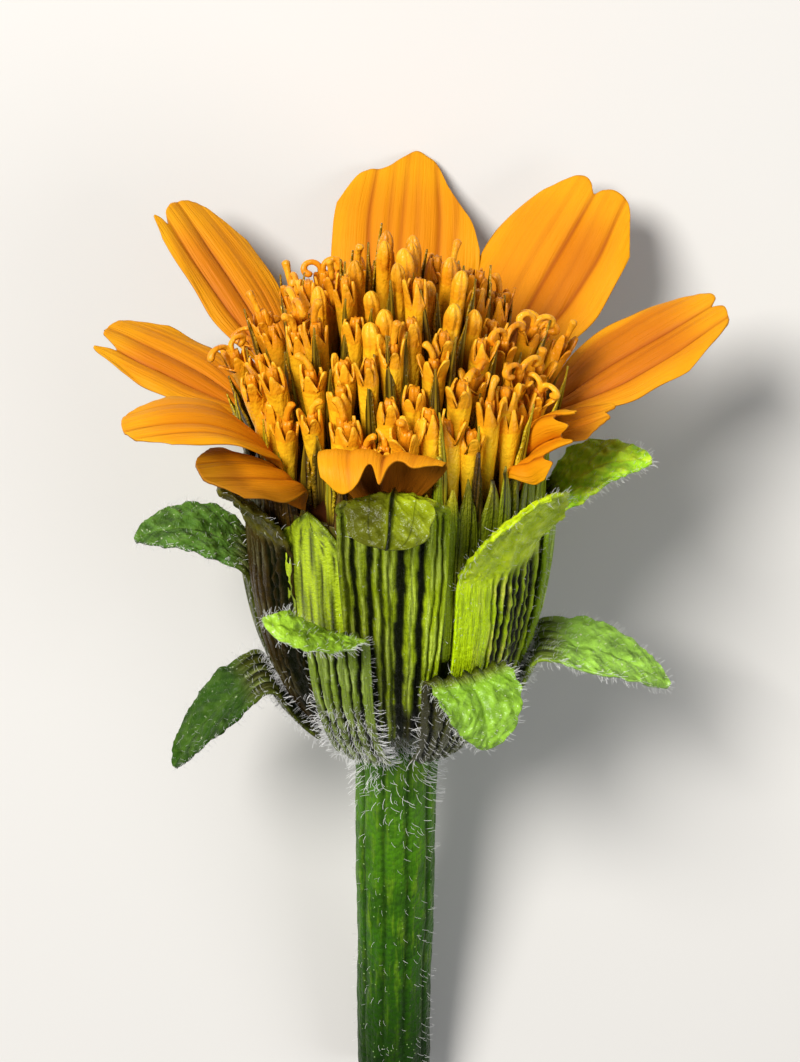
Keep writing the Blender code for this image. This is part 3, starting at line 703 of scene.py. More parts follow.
def bractGrooves(bract, column, half, foot, leaf, onLeaf, chance):
    # how far each point lies in a groove, how much painted highlight lies along its edge, and how deep the
    # blade dips there
    neck = bract["width"] / 2
    count = max(3, round(2 * neck / bractSettings["ribWidth"]))
    plain = [(2 * k / count - 1 + chance.uniform(-0.3, 0.3) / count, chance.uniform(0.07, 0.13),
              chance.uniform(0.7, 1.1)) for k in range(1, count)]
    dip, groove, shine = (np.zeros_like(half) for _ in range(3))
    for table, where in ((bract.get("grooves", plain), 1 - onLeaf), (bract["veined"], onLeaf)):
        for place, width, depth in table:
            wander = 0.05 * np.sin(foot * 7 + place * 11) + 0.035 * np.sin(foot * 23 + leaf * 9 + place * 31)
            wander = (wander + 0.02 * np.sin(foot * 67 + place * 13)) / neck
            aside = (column - place - wander) * half
            waist = 1 + 0.18 * np.sin(foot * 31 + leaf * 13 + place * 17)
            cut = bump(aside, 0, width * (waist + 0.14 * np.sin(foot * 83 + place * 5)))
            groove = np.maximum(groove, smooth(cut * 1.6 - 0.25) * min(depth, 1.0) * where)
            broken = smooth(2.5 * np.sin(foot * 19 + leaf * 17 + place * 40) + 0.4)
            edge = bump(np.abs(aside), width * 1.9, 0.05) * broken
            shine = np.maximum(shine, edge * min(depth, 1) * where)
            dip += cut * depth * bractSettings["grooveDepth"] * where * (width > 0.05)
    return np.clip(groove, 0, 1), shine, dip


def bractShade(bract, column, foot, leaf, onLeaf, low, height):
    # painted shade: from side to side, low down between the hairs, at the tip, and right of the front bract's
    # foot
    rightward = smooth((column + 1) / 2)
    shade = bract["shade"]
    leafShade = bract.get("leafShade", (shade[0] / 2, shade[1] / 2))
    dark = mix(np.clip(mix(*shade, rightward), 0, 1), np.clip(mix(*leafShade, rightward), 0, 0.75), onLeaf)
    patchy = 0.5 + 0.5 * np.sin(foot * 41 + column * 9 + 2 * np.sin(foot * 17))
    dark = np.maximum(dark, 0.7 * low * (1 - onLeaf) * patchy)
    dark = np.maximum(dark, bract["tipShade"] * smooth((leaf - 0.45) / 0.5))
    inShade = smooth((column + 0.1) / 0.4) * smooth((-11.0 - height) / 1.5)
    return np.maximum(dark, bract["footShade"] * inShade)


def bractHairs(bract, grid, across, normal, column, leaf, onLeaf, low):
    # hairs stand closest at the margins, and longest low on the foot
    tipward = smooth((leaf - 0.93) / 0.05) * np.ones_like(onLeaf)
    margin = np.maximum(smooth((np.abs(column) - 0.9) / 0.06), tipward)
    dense = 38 * margin * mix(0.30, 1.0, onLeaf) + 2.6 * onLeaf + 0.6 * (1 - onLeaf)
    dense = (dense + 15 * low * (1 - onLeaf) * bract["footHairs"]) * bract["hairy"]
    long = mix(0.42, 0.66, margin) * mix(1.0, 2.1, low * (1 - onLeaf)) * mix(0.8, 1.0, onLeaf)
    edgeWay = across * np.sign(column)[..., None] * margin[..., None] * 1.6
    outWay = edgeWay + unit(np.gradient(grid, axis=0)) * (0.35 + tipward[..., None])
    ways = np.concatenate([(side + outWay).reshape(-1, 3) for side in (normal, -normal)])
    return {**bothFaces(hairDense=dense, hairLong=long), "hairWay": ways @ flowerAxes}


def makeBract(name, bract, group, finish):
    chance = chanceOf(name)
    at, across, face, foot, leaf, radius = walkBract(bract, group)
    behind = math.sin(math.radians(bract["azimuth"])) > 0.3
    column = np.linspace(-1, 1, bractSettings["columnsBehind" if behind else "columns"] + 1)[None, :]
    side = np.abs(column)
    flat = np.ones_like(foot * column)
    neck = bract["width"] / 2
    footHalf = mix(bract["foot"] / 2, neck, smooth(foot))
    swell = mix(1.0, bract["wide"], smooth(leaf * 2.5))
    leafHalf = mix(neck, neck * leafWidth(leaf, bract["blunt"], bract["square"]) * swell, smooth(leaf * 3))
    half = np.maximum(np.where(leaf > 0, leafHalf, footHalf), 0.07) * flat
    leafCurl = mix(2 * neck / radius, math.radians(bract["curl"]), smooth(leaf * 2))
    if "tipCurl" in bract:
        leafCurl = mix(leafCurl, math.radians(bract["tipCurl"]), smooth((leaf - 0.3) / 0.4))
    curl = np.where(leaf > 0, leafCurl, 2 * footHalf / radius) * flat
    scallop = 1 + 0.035 * np.sin(leaf * 34 + chance.uniform(0, 6)) * (leaf > 0.05) * side**6
    at, across, face = (table[:, None, :] * flat[..., None] for table in (at, across, face))
    grid = bendAcross(at, across, face, half * column * scallop, curl, half)
    up = leaf - (1 - foot) * (bract["leaves"] - group["root"]) / bract["length"]
    onLeaf = smooth((up - bract["leafy"]) / 0.22) * flat
    groove, shine, rise = bractGrooves(bract, column, half, foot, leaf, onLeaf, chance)
    rise -= bract["midrib"] * bump(column * half, 0, 0.22) * onLeaf
    slope = leaf * bract["length"] - side * half * 1.15
    veins = bump(np.sin(slope * 2 * np.pi / 1.25), 0, 0.32) * onLeaf * (leaf < 0.93)
    vein = np.maximum(veins * 0.8, bump(column * half, 0, 0.1) * onLeaf)
    rise += 0.045 * veins * smooth(side * 5)
    rise += 0.10 * np.sin(leaf * 9 + chance.uniform(0, 6)) * side**2 * onLeaf * np.sign(column)
    x, y, z = grid[..., 0], grid[..., 1], grid[..., 2]
    rise += 0.045 * np.sin(x * 5.1 + 1.3 * np.sin(z * 4.3)) * np.sin(z * 5.7 + y * 4.9) * onLeaf
    rise += 0.030 * np.sin(x * 9.7 + y * 7.1 + 1.1 * np.sin(z * 8.1)) * np.sin(z * 10.3 - y * 6.7) * onLeaf
    thick = group["wall"] * mix(1, 0.55, smooth((side - 0.5) / 0.5)) * mix(1, 0.6, smooth(leaf)) * flat
    points, faces, _, normal = sheet(grid, thick)
    points = points + twice(face * rise[..., None])
    low = smooth((-10.0 - z) / 2.0)
    dark = bractShade(bract, column, foot, leaf, onLeaf, low, z)
    marks = bothFaces(groove=groove, leaf=onLeaf, vein=np.clip(vein, 0, 1), shine=shine, dark=dark)
    marks |= bractHairs(bract, grid, across, normal, column, leaf, onLeaf, low)
    return newPiece(name, points, faces, marks, sheetUv(column, (foot + leaf) / 2 * flat), finish)


hairBeds = []
for groupName in ("upper", "lower"):
    group = bractSettings[groupName]
    for bractName, own in group["bracts"].items():
        bract = {**bractSettings["plain"], **group["plain"], **own}
        name = groupName + "_bract_" + bractName
        finish = newFinish("leaf_" + name, bractLooks, bract["leaf"], bract["rib"], bract["gloss"])
        hairBeds.append(makeBract("green_" + name, bract, group, finish))
        keep(hairBeds[-1], "bract", name)
print("bracts made")


# cup wall
wallSettings = {
    "inset": 0.5, "top": -1.6, "around": 288, "rows": 60, "ribs": 62, "ribDepth": 0.12,
    "lip": (6.2, 5.0), "lipHeight": -1.9,
}


def wallLooks(g):
    groove, along = g.marks("groove", "along")
    streaks = g.noise((60, 4, 1), 3.0, 0.6, on="UV")
    # the wall is painted near black, darker towards its bottom and in its furrows: painted shade between the
    # bracts
    colour = g.coated(
        g.mixed(g.between(along, 0.3, 0.95), (0.055, 0.075, 0.008), (0.09, 0.070, 0.006)),
        (g.between(streaks, 0.4, 0.7), (0.06, 0.075, 0.006)),
        (groove, (0.015, 0.010, 0.002)))
    return {"Base Color": colour, "Roughness": 0.5, "Normal": g.relief(streaks, 0.00008)}


def makeCupWall(finish):
    s = wallSettings
    narrow = cupSettings["stemTop"] / cupSettings["radius"]
    floor = -cupSettings["depth"] * (1 - narrow**2) ** (1 / cupSettings["fullness"])
    turn = fullTurn(s["around"])
    furrow = bump(np.sin(turn * s["ribs"] / 2 + 0.3 * np.sin(turn * 5)), 0, 0.28)
    circles, marks = [], []
    for share in np.arange(s["rows"] + 1) / s["rows"]:
        height = mix(floor, s["top"], 1 - (1 - share) ** 1.5)
        radius, height = offCup(height, -s["inset"] * float(smooth((height - floor) / 1.4)))
        wall = radius - s["ribDepth"] * furrow * float(smooth((radius - 3) / 3))
        circles.append(circle(wall, turn, height))
        marks.append((furrow, np.full_like(turn, share)))
    for inner in s["lip"]:
        circles.append(circle(inner, turn, s["lipHeight"]))
        marks.append((0 * turn, np.ones_like(turn)))
    points, faces = rings(circles)
    groove, along = (np.concatenate(v) for v in zip(*marks))
    low = smooth((-11.0 - points[:, 2]) / 2.5)
    marks = {"groove": groove, "along": along, **hairMarks(points, 10.0 * low + 0.2, 1.25 + 0 * low, 0.35)}
    return newPiece("cup_wall", points, faces, marks, ringsUv(s["around"], along), finish)


cupWall = makeCupWall(newFinish("cupGreen", wallLooks))
keep(cupWall, "cup", "receptacle")


# stem
stemSettings = {
    "top": 2.2, "radius": 2.05, "cut": 1.85, "flare": 2.5, "ribs": 10, "ribDepth": 0.13, "sway": -0.15,
    "around": 120, "rows": 90, "intoCup": 0.15,
    # rings of the cut face, from its middle out: share of the stem's width, hollow, pith
    "cutFace": ((0.05, 0.14, 1.0), (0.6, 0.10, 1.0), (0.86, 0.03, 0.8), (0.97, -0.02, 0.2)),
}


def stemLooks(g):
    along, groove, core = g.marks("along", "groove", "core")
    streaks, patches = g.noise((40, 9, 1), 4.0, 0.65, on="UV"), g.noise(500, 3.0, 0.6)
    flecks = g.cells((46, 70, 1), on="UV")
    # the ramp darkens towards the cut end: painted shade where the light falls off
    stops = ((0.12, (0.006, 0.026, 0.001)), (0.44, (0.028, 0.110, 0.003)),
             (0.72, (0.060, 0.190, 0.004)), (1.0, (0.065, 0.170, 0.014)))
    colour = g.coated(
        g.ramp(along, stops),
        (g.between(patches, 0.42, 0.66) * 0.6, (0.014, 0.055, 0.002)),
        (g.between(streaks, 0.48, 0.68) * g.between(along, 0.0, 0.6) * 0.6, (0.16, 0.30, 0.010)),
        # furrows painted darker: painted shade in the furrows
        (groove * 0.75, (0.008, 0.030, 0.002)),
        # pale flecks: partly hair bases, partly painted glints
        (g.between(flecks, 0.16, 0.06) * g.between(patches, 0.45, 0.55), (0.36, 0.52, 0.20)),
        (core, (0.42, 0.55, 0.20)))
    return {"Base Color": colour, "Roughness": 0.30 + patches * 0.2, "Specular IOR Level": 0.10,
            "Normal": g.relief(streaks + flecks * -0.5, 0.00020)}


def makeStem(finish):
    s = stemSettings
    bottom, top = stemCutPlace[2], -cupSettings["depth"] + s["intoCup"]
    turn = fullTurn(s["around"])
    circles, marks = [], []
    for k in range(s["rows"] + 1):
        height = mix(bottom, top, k / s["rows"])
        down = (top - height) / (top - bottom)
        radius = mix(mix(s["radius"], s["cut"], down), s["top"], smooth(1 - (top - height) / s["flare"]))
        furrow = bump(np.sin(turn * s["ribs"] / 2 + 0.15 * np.sin(height * 0.5)), 0, 0.32)
        wobble = 0.03 * np.sin(turn * 3 + height * 0.6) + 0.02 * np.sin(turn * 7 - height * 1.1)
        warts = 0.025 * np.sin(turn * 17 + 3 * np.sin(height * 0.9)) * np.sin(height * 2.3 + turn * 5)
        wall = radius + 0.05 - s["ribDepth"] * furrow + (wobble + warts)
        circles.append(circle(wall, turn, height) + [s["sway"] * float(smooth(down)), 0, 0])
        marks.append((furrow, np.full_like(turn, 1 - down), 0 * turn))
    ends = [(circles[0] - [s["sway"], 0, bottom]) * [share, share, 0] + [s["sway"], 0, bottom + deep]
            for share, deep, _ in s["cutFace"]]
    endMarks = [(0 * turn, 0 * turn, np.full_like(turn, pith)) for *_, pith in s["cutFace"]]
    points, faces = rings(ends + circles)
    groove, along, core = (np.concatenate(v) for v in zip(*endMarks, *marks))
    heights = points[:, 2]
    dense = (1.3 + 9 * smooth((heights + 23) / 6)) * (core == 0)
    hairs = hairMarks(points, dense, 0.62 + 0.5 * smooth((heights + 25) / 7), 0.1)
    marks = {"groove": groove, "along": along, "core": core, **hairs}
    return newPiece("stem_green", points, faces, marks, ringsUv(s["around"], along), finish)


stemPiece = makeStem(newFinish("stemGreen", stemLooks))
keep(stemPiece, "stem", "stem")
print("cup and stem made")


# hairs: each set grows from some of the pieces, in one piece of its own
upperCount = len(bractSettings["upper"]["bracts"])
hairSettings = {
    "perArea": 1.0, "length": 0.5, "root": 0.023, "bend": 0.35, "tilt": 0.55, "points": 3, "seed": 11,
    "sets": {
        "upper_bract_hairs": ("bract", hairBeds[:upperCount]),
        "lower_bract_hairs": ("bract", hairBeds[upperCount:]),
        "stem_hairs": ("stem", [cupWall, stemPiece]),
    },
    "looks": {"Base Color": (0.80, 0.86, 0.74, 1), "Roughness": 0.3, "Specular IOR Level": 0.6},
}


def geometryTree(name, inputs):
    tree = bpy.data.node_groups.new(name, "GeometryNodeTree")
    sockets = {"Geometry": "Geometry", **inputs}
    for key, kind in sockets.items():
        tree.interface.new_socket(key, in_out="INPUT", socket_type="NodeSocket" + kind)
    tree.interface.new_socket("Geometry", in_out="OUTPUT", socket_type="NodeSocketGeometry")
    graph = Graph(tree)
    start = tree.nodes.new("NodeGroupInput")
    return tree, graph, [Sock(graph, start.outputs[key]) for key in sockets]


def closeTree(g, placed, finish):
    real = g.add("GeometryNodeRealizeInstances", None, {0: placed})
    real = g.add("GeometryNodeSetShadeSmooth", None, {0: real})
    g.add("NodeGroupOutput", None, {0: g.add("GeometryNodeSetMaterial", None, {0: real, "Material": finish})})


def grown(name, source, tree, values):
    # the source with the tree run over it, as a plain mesh
    modifier = source.modifiers.new(name, "NODES")
    modifier.node_group = tree
    for item in tree.interface.items_tree:
        if item.item_type == "SOCKET" and item.in_out == "INPUT" and item.name in values:
            modifier[item.identifier] = values[item.name]
    bpy.context.view_layer.update()
    made = source.evaluated_get(bpy.context.evaluated_depsgraph_get())
    mesh = bpy.data.meshes.new_from_object(made)
    mesh.name = name
    source.modifiers.remove(modifier)
    return mesh


def hairTree():
    tree, g, (bed, perArea, length, root, bend, tilt, seed, finish) = geometryTree("hairs", {
        "Per Area": "Float", "Length": "Float", "Root Radius": "Float", "Bend": "Float", "Tilt": "Float",
        "Seed": "Int", "Finish": "Material"})
    dense, long, way = g.named("hairDense"), g.named("hairLong"), g.named("hairWay", "FLOAT_VECTOR")
    points = g.add("GeometryNodeDistributePointsOnFaces", None, {
        "Mesh": bed, "Density": dense * perArea, "Seed": seed})
    line = g.add("GeometryNodeCurvePrimitiveBezierSegment", None, {
        "Resolution": hairSettings["points"], "Start": (0, 0, 0), "Start Handle": (0, 0, 0.4),
        "End Handle": g.combined(bend * 0.4, 0.75), "End": g.combined(bend, 1.0)})
    taper = 1.05 - g.add("GeometryNodeSplineParameter")
    line = g.add("GeometryNodeSetCurveRadius", None, {"Curve": line, "Radius": taper})
    ring = g.add("GeometryNodeCurvePrimitiveCircle", None, {"Resolution": 3, "Radius": root})
    hair = g.add("GeometryNodeCurveToMesh", None, {"Curve": line, "Profile Curve": ring, "Fill Caps": True})
    jitter = g.add("FunctionNodeRandomValue", {"data_type": "FLOAT_VECTOR"}, {
        0: (-1, -1, -1), 1: (1, 1, 1), "Seed": seed})
    way = g.vector("ADD", g.vector("NORMALIZE", way), g.vector("SCALE", jitter, scale=tilt))
    turned = g.add("FunctionNodeAlignRotationToVector", {"axis": "Z"}, {"Vector": way})
    placed = g.add("GeometryNodeInstanceOnPoints", None, {
        "Points": points, "Instance": hair, "Rotation": turned, "Scale": long * length})
    closeTree(g, placed, finish)
    return tree


def joined(name, meshes):
    whole = bmesh.new()
    for mesh in meshes:
        whole.from_mesh(mesh)
        finish = mesh.materials[0]
        bpy.data.meshes.remove(mesh)
    mesh = bpy.data.meshes.new(name)
    whole.to_mesh(mesh)
    whole.free()
    pressed(mesh)
    mesh.materials.append(finish)
    return linked(name, mesh)


def growHairs():
    s, tree = hairSettings, hairTree()
    values = {"Per Area": s["perArea"] / mm**2, "Length": s["length"] * mm, "Root Radius": s["root"],
              "Bend": s["bend"], "Tilt": s["tilt"], "Finish": newFinish("hairWhite", s["looks"])}
    for index, (name, (slot, beds)) in enumerate(s["sets"].items()):
        seeds = range(s["seed"] + 40 * index, s["seed"] + 40 * index + len(beds))
        piece = joined(name, [grown(name, bed, tree, {**values, "Seed": n}) for bed, n in zip(beds, seeds)])
        keep(piece, slot)
        print(name, len(piece.data.polygons), "faces")


growHairs()


# disc
discSettings = {
    "rimHeight": -0.9, "dome": 4.1, "radius": 6.5, "count": 84, "spacing": 0.685, "turn": 137.508,
    "rimAt": 5.9, "long": 6.6, "longAtRim": 4.9, "lean": 12.0, "sideLean": 12.0, "seed": 21,
    "nodes": {"disc_centre": (0.0, 2.1), "disc_middle": (2.1, 4.7), "disc_margin": (4.7, 9.0)},
    "kinds": {"bud": (0, 1, 2), "half": (3, 4, 5), "open": (6, 7, 8, 9), "styled": (10, 11, 12, 13)},
    # what stands where: out to a share of the rim, and past that at the front and back or at the sides
    "sorts": {0.40: ("bud", "bud", "half"), 0.68: ("bud", "bud", "half", "half", "open")},
    "rimSorts": ("open", "half", "open", "half"), "sideSorts": ("styled", "open", "styled", "half"),
    # scales stand this far outside their florets, with no foot past this radius, and none where a floret
    # is further out than bareFrom in front, by the sine of its azimuth
    "scaleOut": 0.50, "footWithin": 6.4, "bareFrom": 5.0, "bareFront": -0.3,
    "frontRank": {"degrees": (-158, -16, 9), "shaded": (-139, -115), "radius": 6.5, "foot": -1.4},
    "rimScales": {"count": 19, "radius": 6.85, "foot": -1.4},
}
floretSettings = {
    "around": 30, "throat": 0.51, "column": 0.22, "tall": 6.0, "mouth": 0.75,
    "styleLong": 2.0, "styleThick": 0.18,
    # (share of the height, width) up the tube and the hood of a bud, and up the tube of the others
    "budTube": ((-0.1, 0.62), (0.1, 0.66), (0.35, 0.80), (0.55, 0.90), (0.68, 0.94), (0.76, 0.93)),
    "budHood": ((0.80, 0.95), (0.85, 0.99), (0.89, 1.0), (0.925, 0.93), (0.955, 0.78), (0.978, 0.56),
                (0.993, 0.32), (1.0, 0.06)),
    "tube": ((-0.1, 0.56), (0.12, 0.60), (0.36, 0.74), (0.5, 0.88), (0.62, 0.97), (0.72, 1.02)),
    "spread": {"half": (-0.45, 0.2), "open": (-0.2, 0.6), "styled": (-0.1, 0.8)},
    "lobes": {"half": 1.0, "open": 1.0, "styled": 0.85},
    "columnTop": {"half": 0.95, "open": 0.93, "styled": 0.92},
}


def discHeight(radius):
    s = discSettings
    return s["rimHeight"] + s["dome"] * (1 - (radius / s["radius"]) ** 2)


def floretRings(kind, chance):
    # rings of a floret: up the tube, out along the lobes, back in to the throat and up the column,
    # each with its points, its part (0 tube, 1 lobes, 2 column) and its share of the height
    s = floretSettings
    turn = fullTurn(s["around"])
    fifth = turn * 5 / (2 * math.pi) + 0.5
    number = (fifth % 5).astype(int)
    side = (fifth % 1.0) * 2 - 1  # 0 on a lobe's middle line, -1 and 1 between two
    gap = np.abs(side)
    tall, throat, column = s["tall"], s["throat"], s["column"]
    made = []

    def ring(radius, height, part, shift=(0.0, 0.0), angle=turn):
        points = circle(radius, angle, height) + (*shift, 0)
        made.append((points, part + 0 * turn, (height + 0 * turn) / tall))

    seam = 0.06 * smooth((gap - 0.5) / 0.5)
    bend = chance.uniform(-0.12, 0.12, 2)
    if kind == "bud":
        stout = throat * chance.uniform(0.70, 0.84)
        for share, wide in s["budTube"]:
            ring(stout * wide - seam * 0.5, share * tall, 0)
        for share, wide in s["budHood"]:
            hood = 1 - 0.12 * smooth((share - 0.84) / 0.1) * (number % 2)
            radius = stout * wide * hood - seam * 1.8 * min(1, wide * 1.3)
            ring(radius, share * tall, 1, bend * smooth((share - 0.8) / 0.2))
        return made
    for share, wide in s["tube"]:
        ring(throat * wide - seam * 0.7, share * tall, 0)
    mouth, steps = s["mouth"] * tall, 7
    spread = chance.uniform(*s["spread"][kind], 5)[number]
    long = chance.uniform(0.75, 1.55, 5)[number] * s["lobes"][kind]
    reach = np.maximum(1 - gap**3.4, 0.03) * long
    startLean, twist = chance.uniform(-0.05, 0.15, 5)[number], chance.uniform(-0.25, 0.25, 5)[number]
    radius, height = throat * 1.04, mouth
    outer = []
    for k in range(1, steps + 1):
        share = k / steps
        lean = startLean + spread * share**1.3
        radius, height = radius + np.sin(lean) * reach / steps, height + np.cos(lean) * reach / steps
        angle = turn - side * math.pi / 5 * 0.24 * share + twist * share**2
        outer.append((radius, height, angle))
        ring(radius, height, 1, angle=angle)
    for radius, height, angle in outer[::-1]:
        ring(radius - 0.10, height + 0.015, 1, angle=angle)
    ring(throat * 0.88, mouth - 0.05, 1)
    ring(throat * 0.70, mouth - 0.5, 0)
    ring(column * 0.9, mouth - 0.55, 2)
    top = s["columnTop"][kind]
    for share, wide in ((0.74, 1.0), (0.84, 1.06), (top - 0.03, 1.10)):
        ring(column * wide * (1 - 0.12 * (gap > 0.7)), share * tall, 2, bend * smooth((share - 0.7) / 0.3))
    ring(column * (1.0 - 0.35 * gap), top * tall - 0.02 + 0.10 * (1 - gap), 2, bend)
    ring(column * 0.4, top * tall + 0.04, 2, bend)
    ring(0.02, top * tall + 0.06, 2, bend)
    return made


def styleRings(kind, chance, steps=16, sides=9):
    # the style as one tube, part 3: both arms from tip to tip, each curled over, or one upright finger
    s = floretSettings
    arms = []
    for side in (-1, 1):
        long = s["styleLong"] * chance.uniform(0.8, 1.15)
        most = chance.uniform(190, 320)
        if kind == "open":
            long, most = (0.25, 20) if side < 0 else (chance.uniform(0.9, 1.5), chance.uniform(5, 70))
        arm = [np.array([0.02 * side, 0.0, 5.3]), np.array([0.05 * side, 0.0, 5.6])]
        for k in range(steps):
            lean = math.radians(mix(6, most, (k / (steps - 1)) ** 1.2))
            step = long / steps * mix(1.2, 0.7, k / steps)
            drift = 0.3 * math.sin(k * 0.25) * (kind == "styled")
            arm.append(arm[-1] + step * np.array([math.sin(lean) * side, drift * side, math.cos(lean)]))
        arms.append(arm)
    path = np.array(arms[0][::-1] + arms[1]) if kind == "styled" else np.array(arms[1])
    tangent = unit(np.gradient(path, axis=0))
    turn = fullTurn(sides)
    last = len(path) - 1
    made = []
    for k in range(last + 1):
        over = unit(np.cross(tangent[k], [0, 1, 0]))
        other = np.cross(over, tangent[k])
        out = abs(k - last / 2) / (last / 2) if kind == "styled" else k / last
        rounded = (0.35, 0.8, 1.0)[min(k, last - k, 2)]
        size = s["styleThick"] * mix(0.82, 1.12, float(smooth(out * 2 - 0.8))) * rounded
        points = path[k] + size * (np.cos(turn)[:, None] * over + np.sin(turn)[:, None] * other)
        made.append((points, 3 + 0 * turn, out + 0 * turn))
    return made


def floretLooks(g):
    part, along = g.marks("part", "along")
    level = g.add("ShaderNodeSeparateXYZ", None, {0: g.add("ShaderNodeTexCoord", out="Object")}, out=2)
    front = g.between(level, 0.010, 0.0205)
    less = 1 - front * 0.55
    grain, patches = g.noise(4200, 2.0, 0.6), g.noise(700)
    tints, streaks = g.noise((520, 90, 520), 1.0), g.noise((2600, 300, 2600), 2.0, 0.6)
    # tubes darken to near black towards their base: partly their own deep brown-orange, partly painted shade
    # between the florets
    back = ((0.10, (0.030, 0.006, 0.001)), (0.35, (0.12, 0.035, 0.002)), (0.52, (0.42, 0.150, 0.004)),
            (0.74, (0.70, 0.250, 0.004)))
    near = ((0.05, (0.40, 0.220, 0.005)), (0.26, (0.82, 0.500, 0.012)), (0.55, (0.95, 0.580, 0.016)),
            (0.76, (0.92, 0.500, 0.010)))
    # the florets highest over the floor, in front, get the lighter ramp: painted light
    tube = g.mixed(front, g.ramp(along, back), g.ramp(along, near))
    lobe = g.coated(
        g.mixed(g.between(patches, 0.3, 0.7), (0.64, 0.190, 0.003), (0.80, 0.310, 0.006)),
        # lobes in front painted lighter, their tips lighter still: painted light and painted highlight
        (front * 0.7, (0.86, 0.410, 0.010)),
        (g.between(along, 0.84, 0.96) * front * 0.6, (0.94, 0.52, 0.024)))
    column = g.mixed(g.between(along, 0.76, 0.92), (0.36, 0.115, 0.003), (0.74, 0.270, 0.005))
    style = g.mixed(g.between(patches, 0.3, 0.7), (0.76, 0.260, 0.004), (0.90, 0.420, 0.014))
    colour = g.coated(
        tube,
        (g.between(part, 0.3, 0.7), lobe),
        (g.between(part, 1.3, 1.7), column),
        (g.between(part, 2.3, 2.7), style),
        (g.between(streaks, 0.50, 0.70) * less * 0.55, (0.42, 0.120, 0.002)),
        (g.between(tints, 0.48, 0.66) * less * 0.55, (0.40, 0.115, 0.002)))
    return {"Base Color": colour, "Roughness": 0.28 + grain * 0.16, "Specular IOR Level": 0.25,
            "Normal": g.relief(grain + streaks * 2, 0.00006)}


def makeFloret(name, kind, seed, finish):
    chance = np.random.default_rng(seed)
    shells = [floretRings(kind, chance)]
    if kind in ("styled", "open"):
        shells.append(styleRings(kind, chance))
    allFaces, start = [], 0
    for shell in shells:
        points, faces = rings([ring[0] for ring in shell])
        allFaces += [tuple(i + start for i in f) for f in faces]
        start += len(points)
    points, part, along = (np.concatenate(v) for v in zip(*sum(shells, [])))
    return newPiece(name, points * mm, allFaces, {"part": part, "along": along}, None, finish, world=False)


# the narrow scales between the florets: (length, width, keel, bend) of each kind
scaleSettings = {
    "olive": {
        "face": (0.13, 0.085, 0.004), "stripe": (0.026, 0.009, 0.002), "edge": (0.44, 0.25, 0.006),
        "rib": (0.25, 0.17, 0.006),
        "forms": ((5.9, 0.60, 0.22, 0.25), (6.1, 0.52, 0.18, -0.3), (5.6, 0.68, 0.26, 0.0))},
    "pale": {
        "face": (0.50, 0.38, 0.008), "stripe": (0.045, 0.022, 0.003), "edge": (0.74, 0.52, 0.016),
        "rib": (0.26, 0.25, 0.008), "forms": ((5.6, 0.56, 0.20, 0.2), (5.6, 0.46, 0.18, -0.25))},
}


def scaleLooks(g, s):
    along, across = g.marks("along", "across")
    patches, beads, streaks = g.noise(1300), g.noise(6500, 1.0), g.noise((11, 1.1, 1), on="UV")
    aside = abs(across)
    colour = g.coated(
        g.mixed(g.between(streaks, 0.50, 0.62), s["face"], s["stripe"]),
        (g.between(aside, 0.16, 0.06), s["rib"]),
        (g.between(aside, 0.74, 0.90) * g.between(patches, 0.25, 0.6), s["edge"]),
        (g.between(along, 0.80, 1.0) * 0.7, s["edge"]),
        # towards its base a scale is painted near black: painted shade down among the florets
        (g.between(along, 0.36, 0.0), (0.035, 0.010, 0.002)))
    height = streaks + beads * g.between(aside, 0.4, 0.8) * 0.8
    return {"Base Color": colour, "Roughness": 0.22 + patches * 0.2, "Normal": g.relief(height, 0.00016)}


def makeScale(name, finish, long, wide, keel, bend, rows=24, columns=12):
    column = np.linspace(-1, 1, columns + 1)[None, :]
    row = np.linspace(0, 1, rows + 1)[:, None]
    narrow = np.clip((row - 0.42) / 0.58, 0, 1)
    half = wide / 2 * mix(0.8, 1.0, smooth(row * 2)) * np.maximum(1 - narrow**1.5, 0.03)
    fold = keel * (1 - np.abs(column) ** 1.4) * (half / (wide / 2))
    ripple = 0.03 * np.cos(column * 9) * (1 - narrow) + 0.03 * np.sin(row * 23) * np.abs(column) ** 3
    aside = bend * row**2.5
    height = (row * 1.08 - 0.08) * long + 0 * column
    grid = np.stack([fold + 0.5 * aside + ripple, half * column + aside, height], -1)
    points, faces, *_ = sheet(grid, np.full(grid.shape[:2], 0.08))
    along = row + 0 * column
    uv = sheetUv(column, along) + (0.37 * long, 0)
    marks = bothFaces(along=along, across=column + 0 * row)
    return newPiece(name, points * mm, faces, marks, uv, finish, world=False)


def placingTree():
    # sets one of a collection's pieces at each point, turned and scaled as the point says
    tree, g, (points, kinds, finish) = geometryTree("placing", {"Kinds": "Collection", "Finish": "Material"})
    kinds = g.add("GeometryNodeCollectionInfo", None, {
        "Collection": kinds, "Separate Children": True, "Reset Children": True})
    placed = g.add("GeometryNodeInstanceOnPoints", None, {
        "Points": points, "Instance": kinds, "Pick Instance": True, "Instance Index": g.named("kind"),
        "Rotation": g.named("turn", "FLOAT_VECTOR"), "Scale": g.named("size", "FLOAT_VECTOR")})
    closeTree(g, placed, finish)
    return tree


def standing(azimuth, lean, spin):
    turn = Matrix.Rotation(azimuth, 3, "Z") @ Matrix.Rotation(lean, 3, "Y") @ Matrix.Rotation(spin, 3, "Z")
    return (Matrix(flowerAxes.tolist()).transposed() @ turn).to_euler()


def leanAt(azimuth, share):
    # outwards towards the rim, most at the sides and hardly at all in front
    s = discSettings
    front = max(-math.sin(azimuth), 0.0)
    aside = float(smooth((math.sin(azimuth) + 1) / 1.3)) * float(smooth((share - 0.72) / 0.28))
    return math.radians(s["lean"] * share * (1 - 0.85 * front**1.5) + s["sideLean"] * aside)


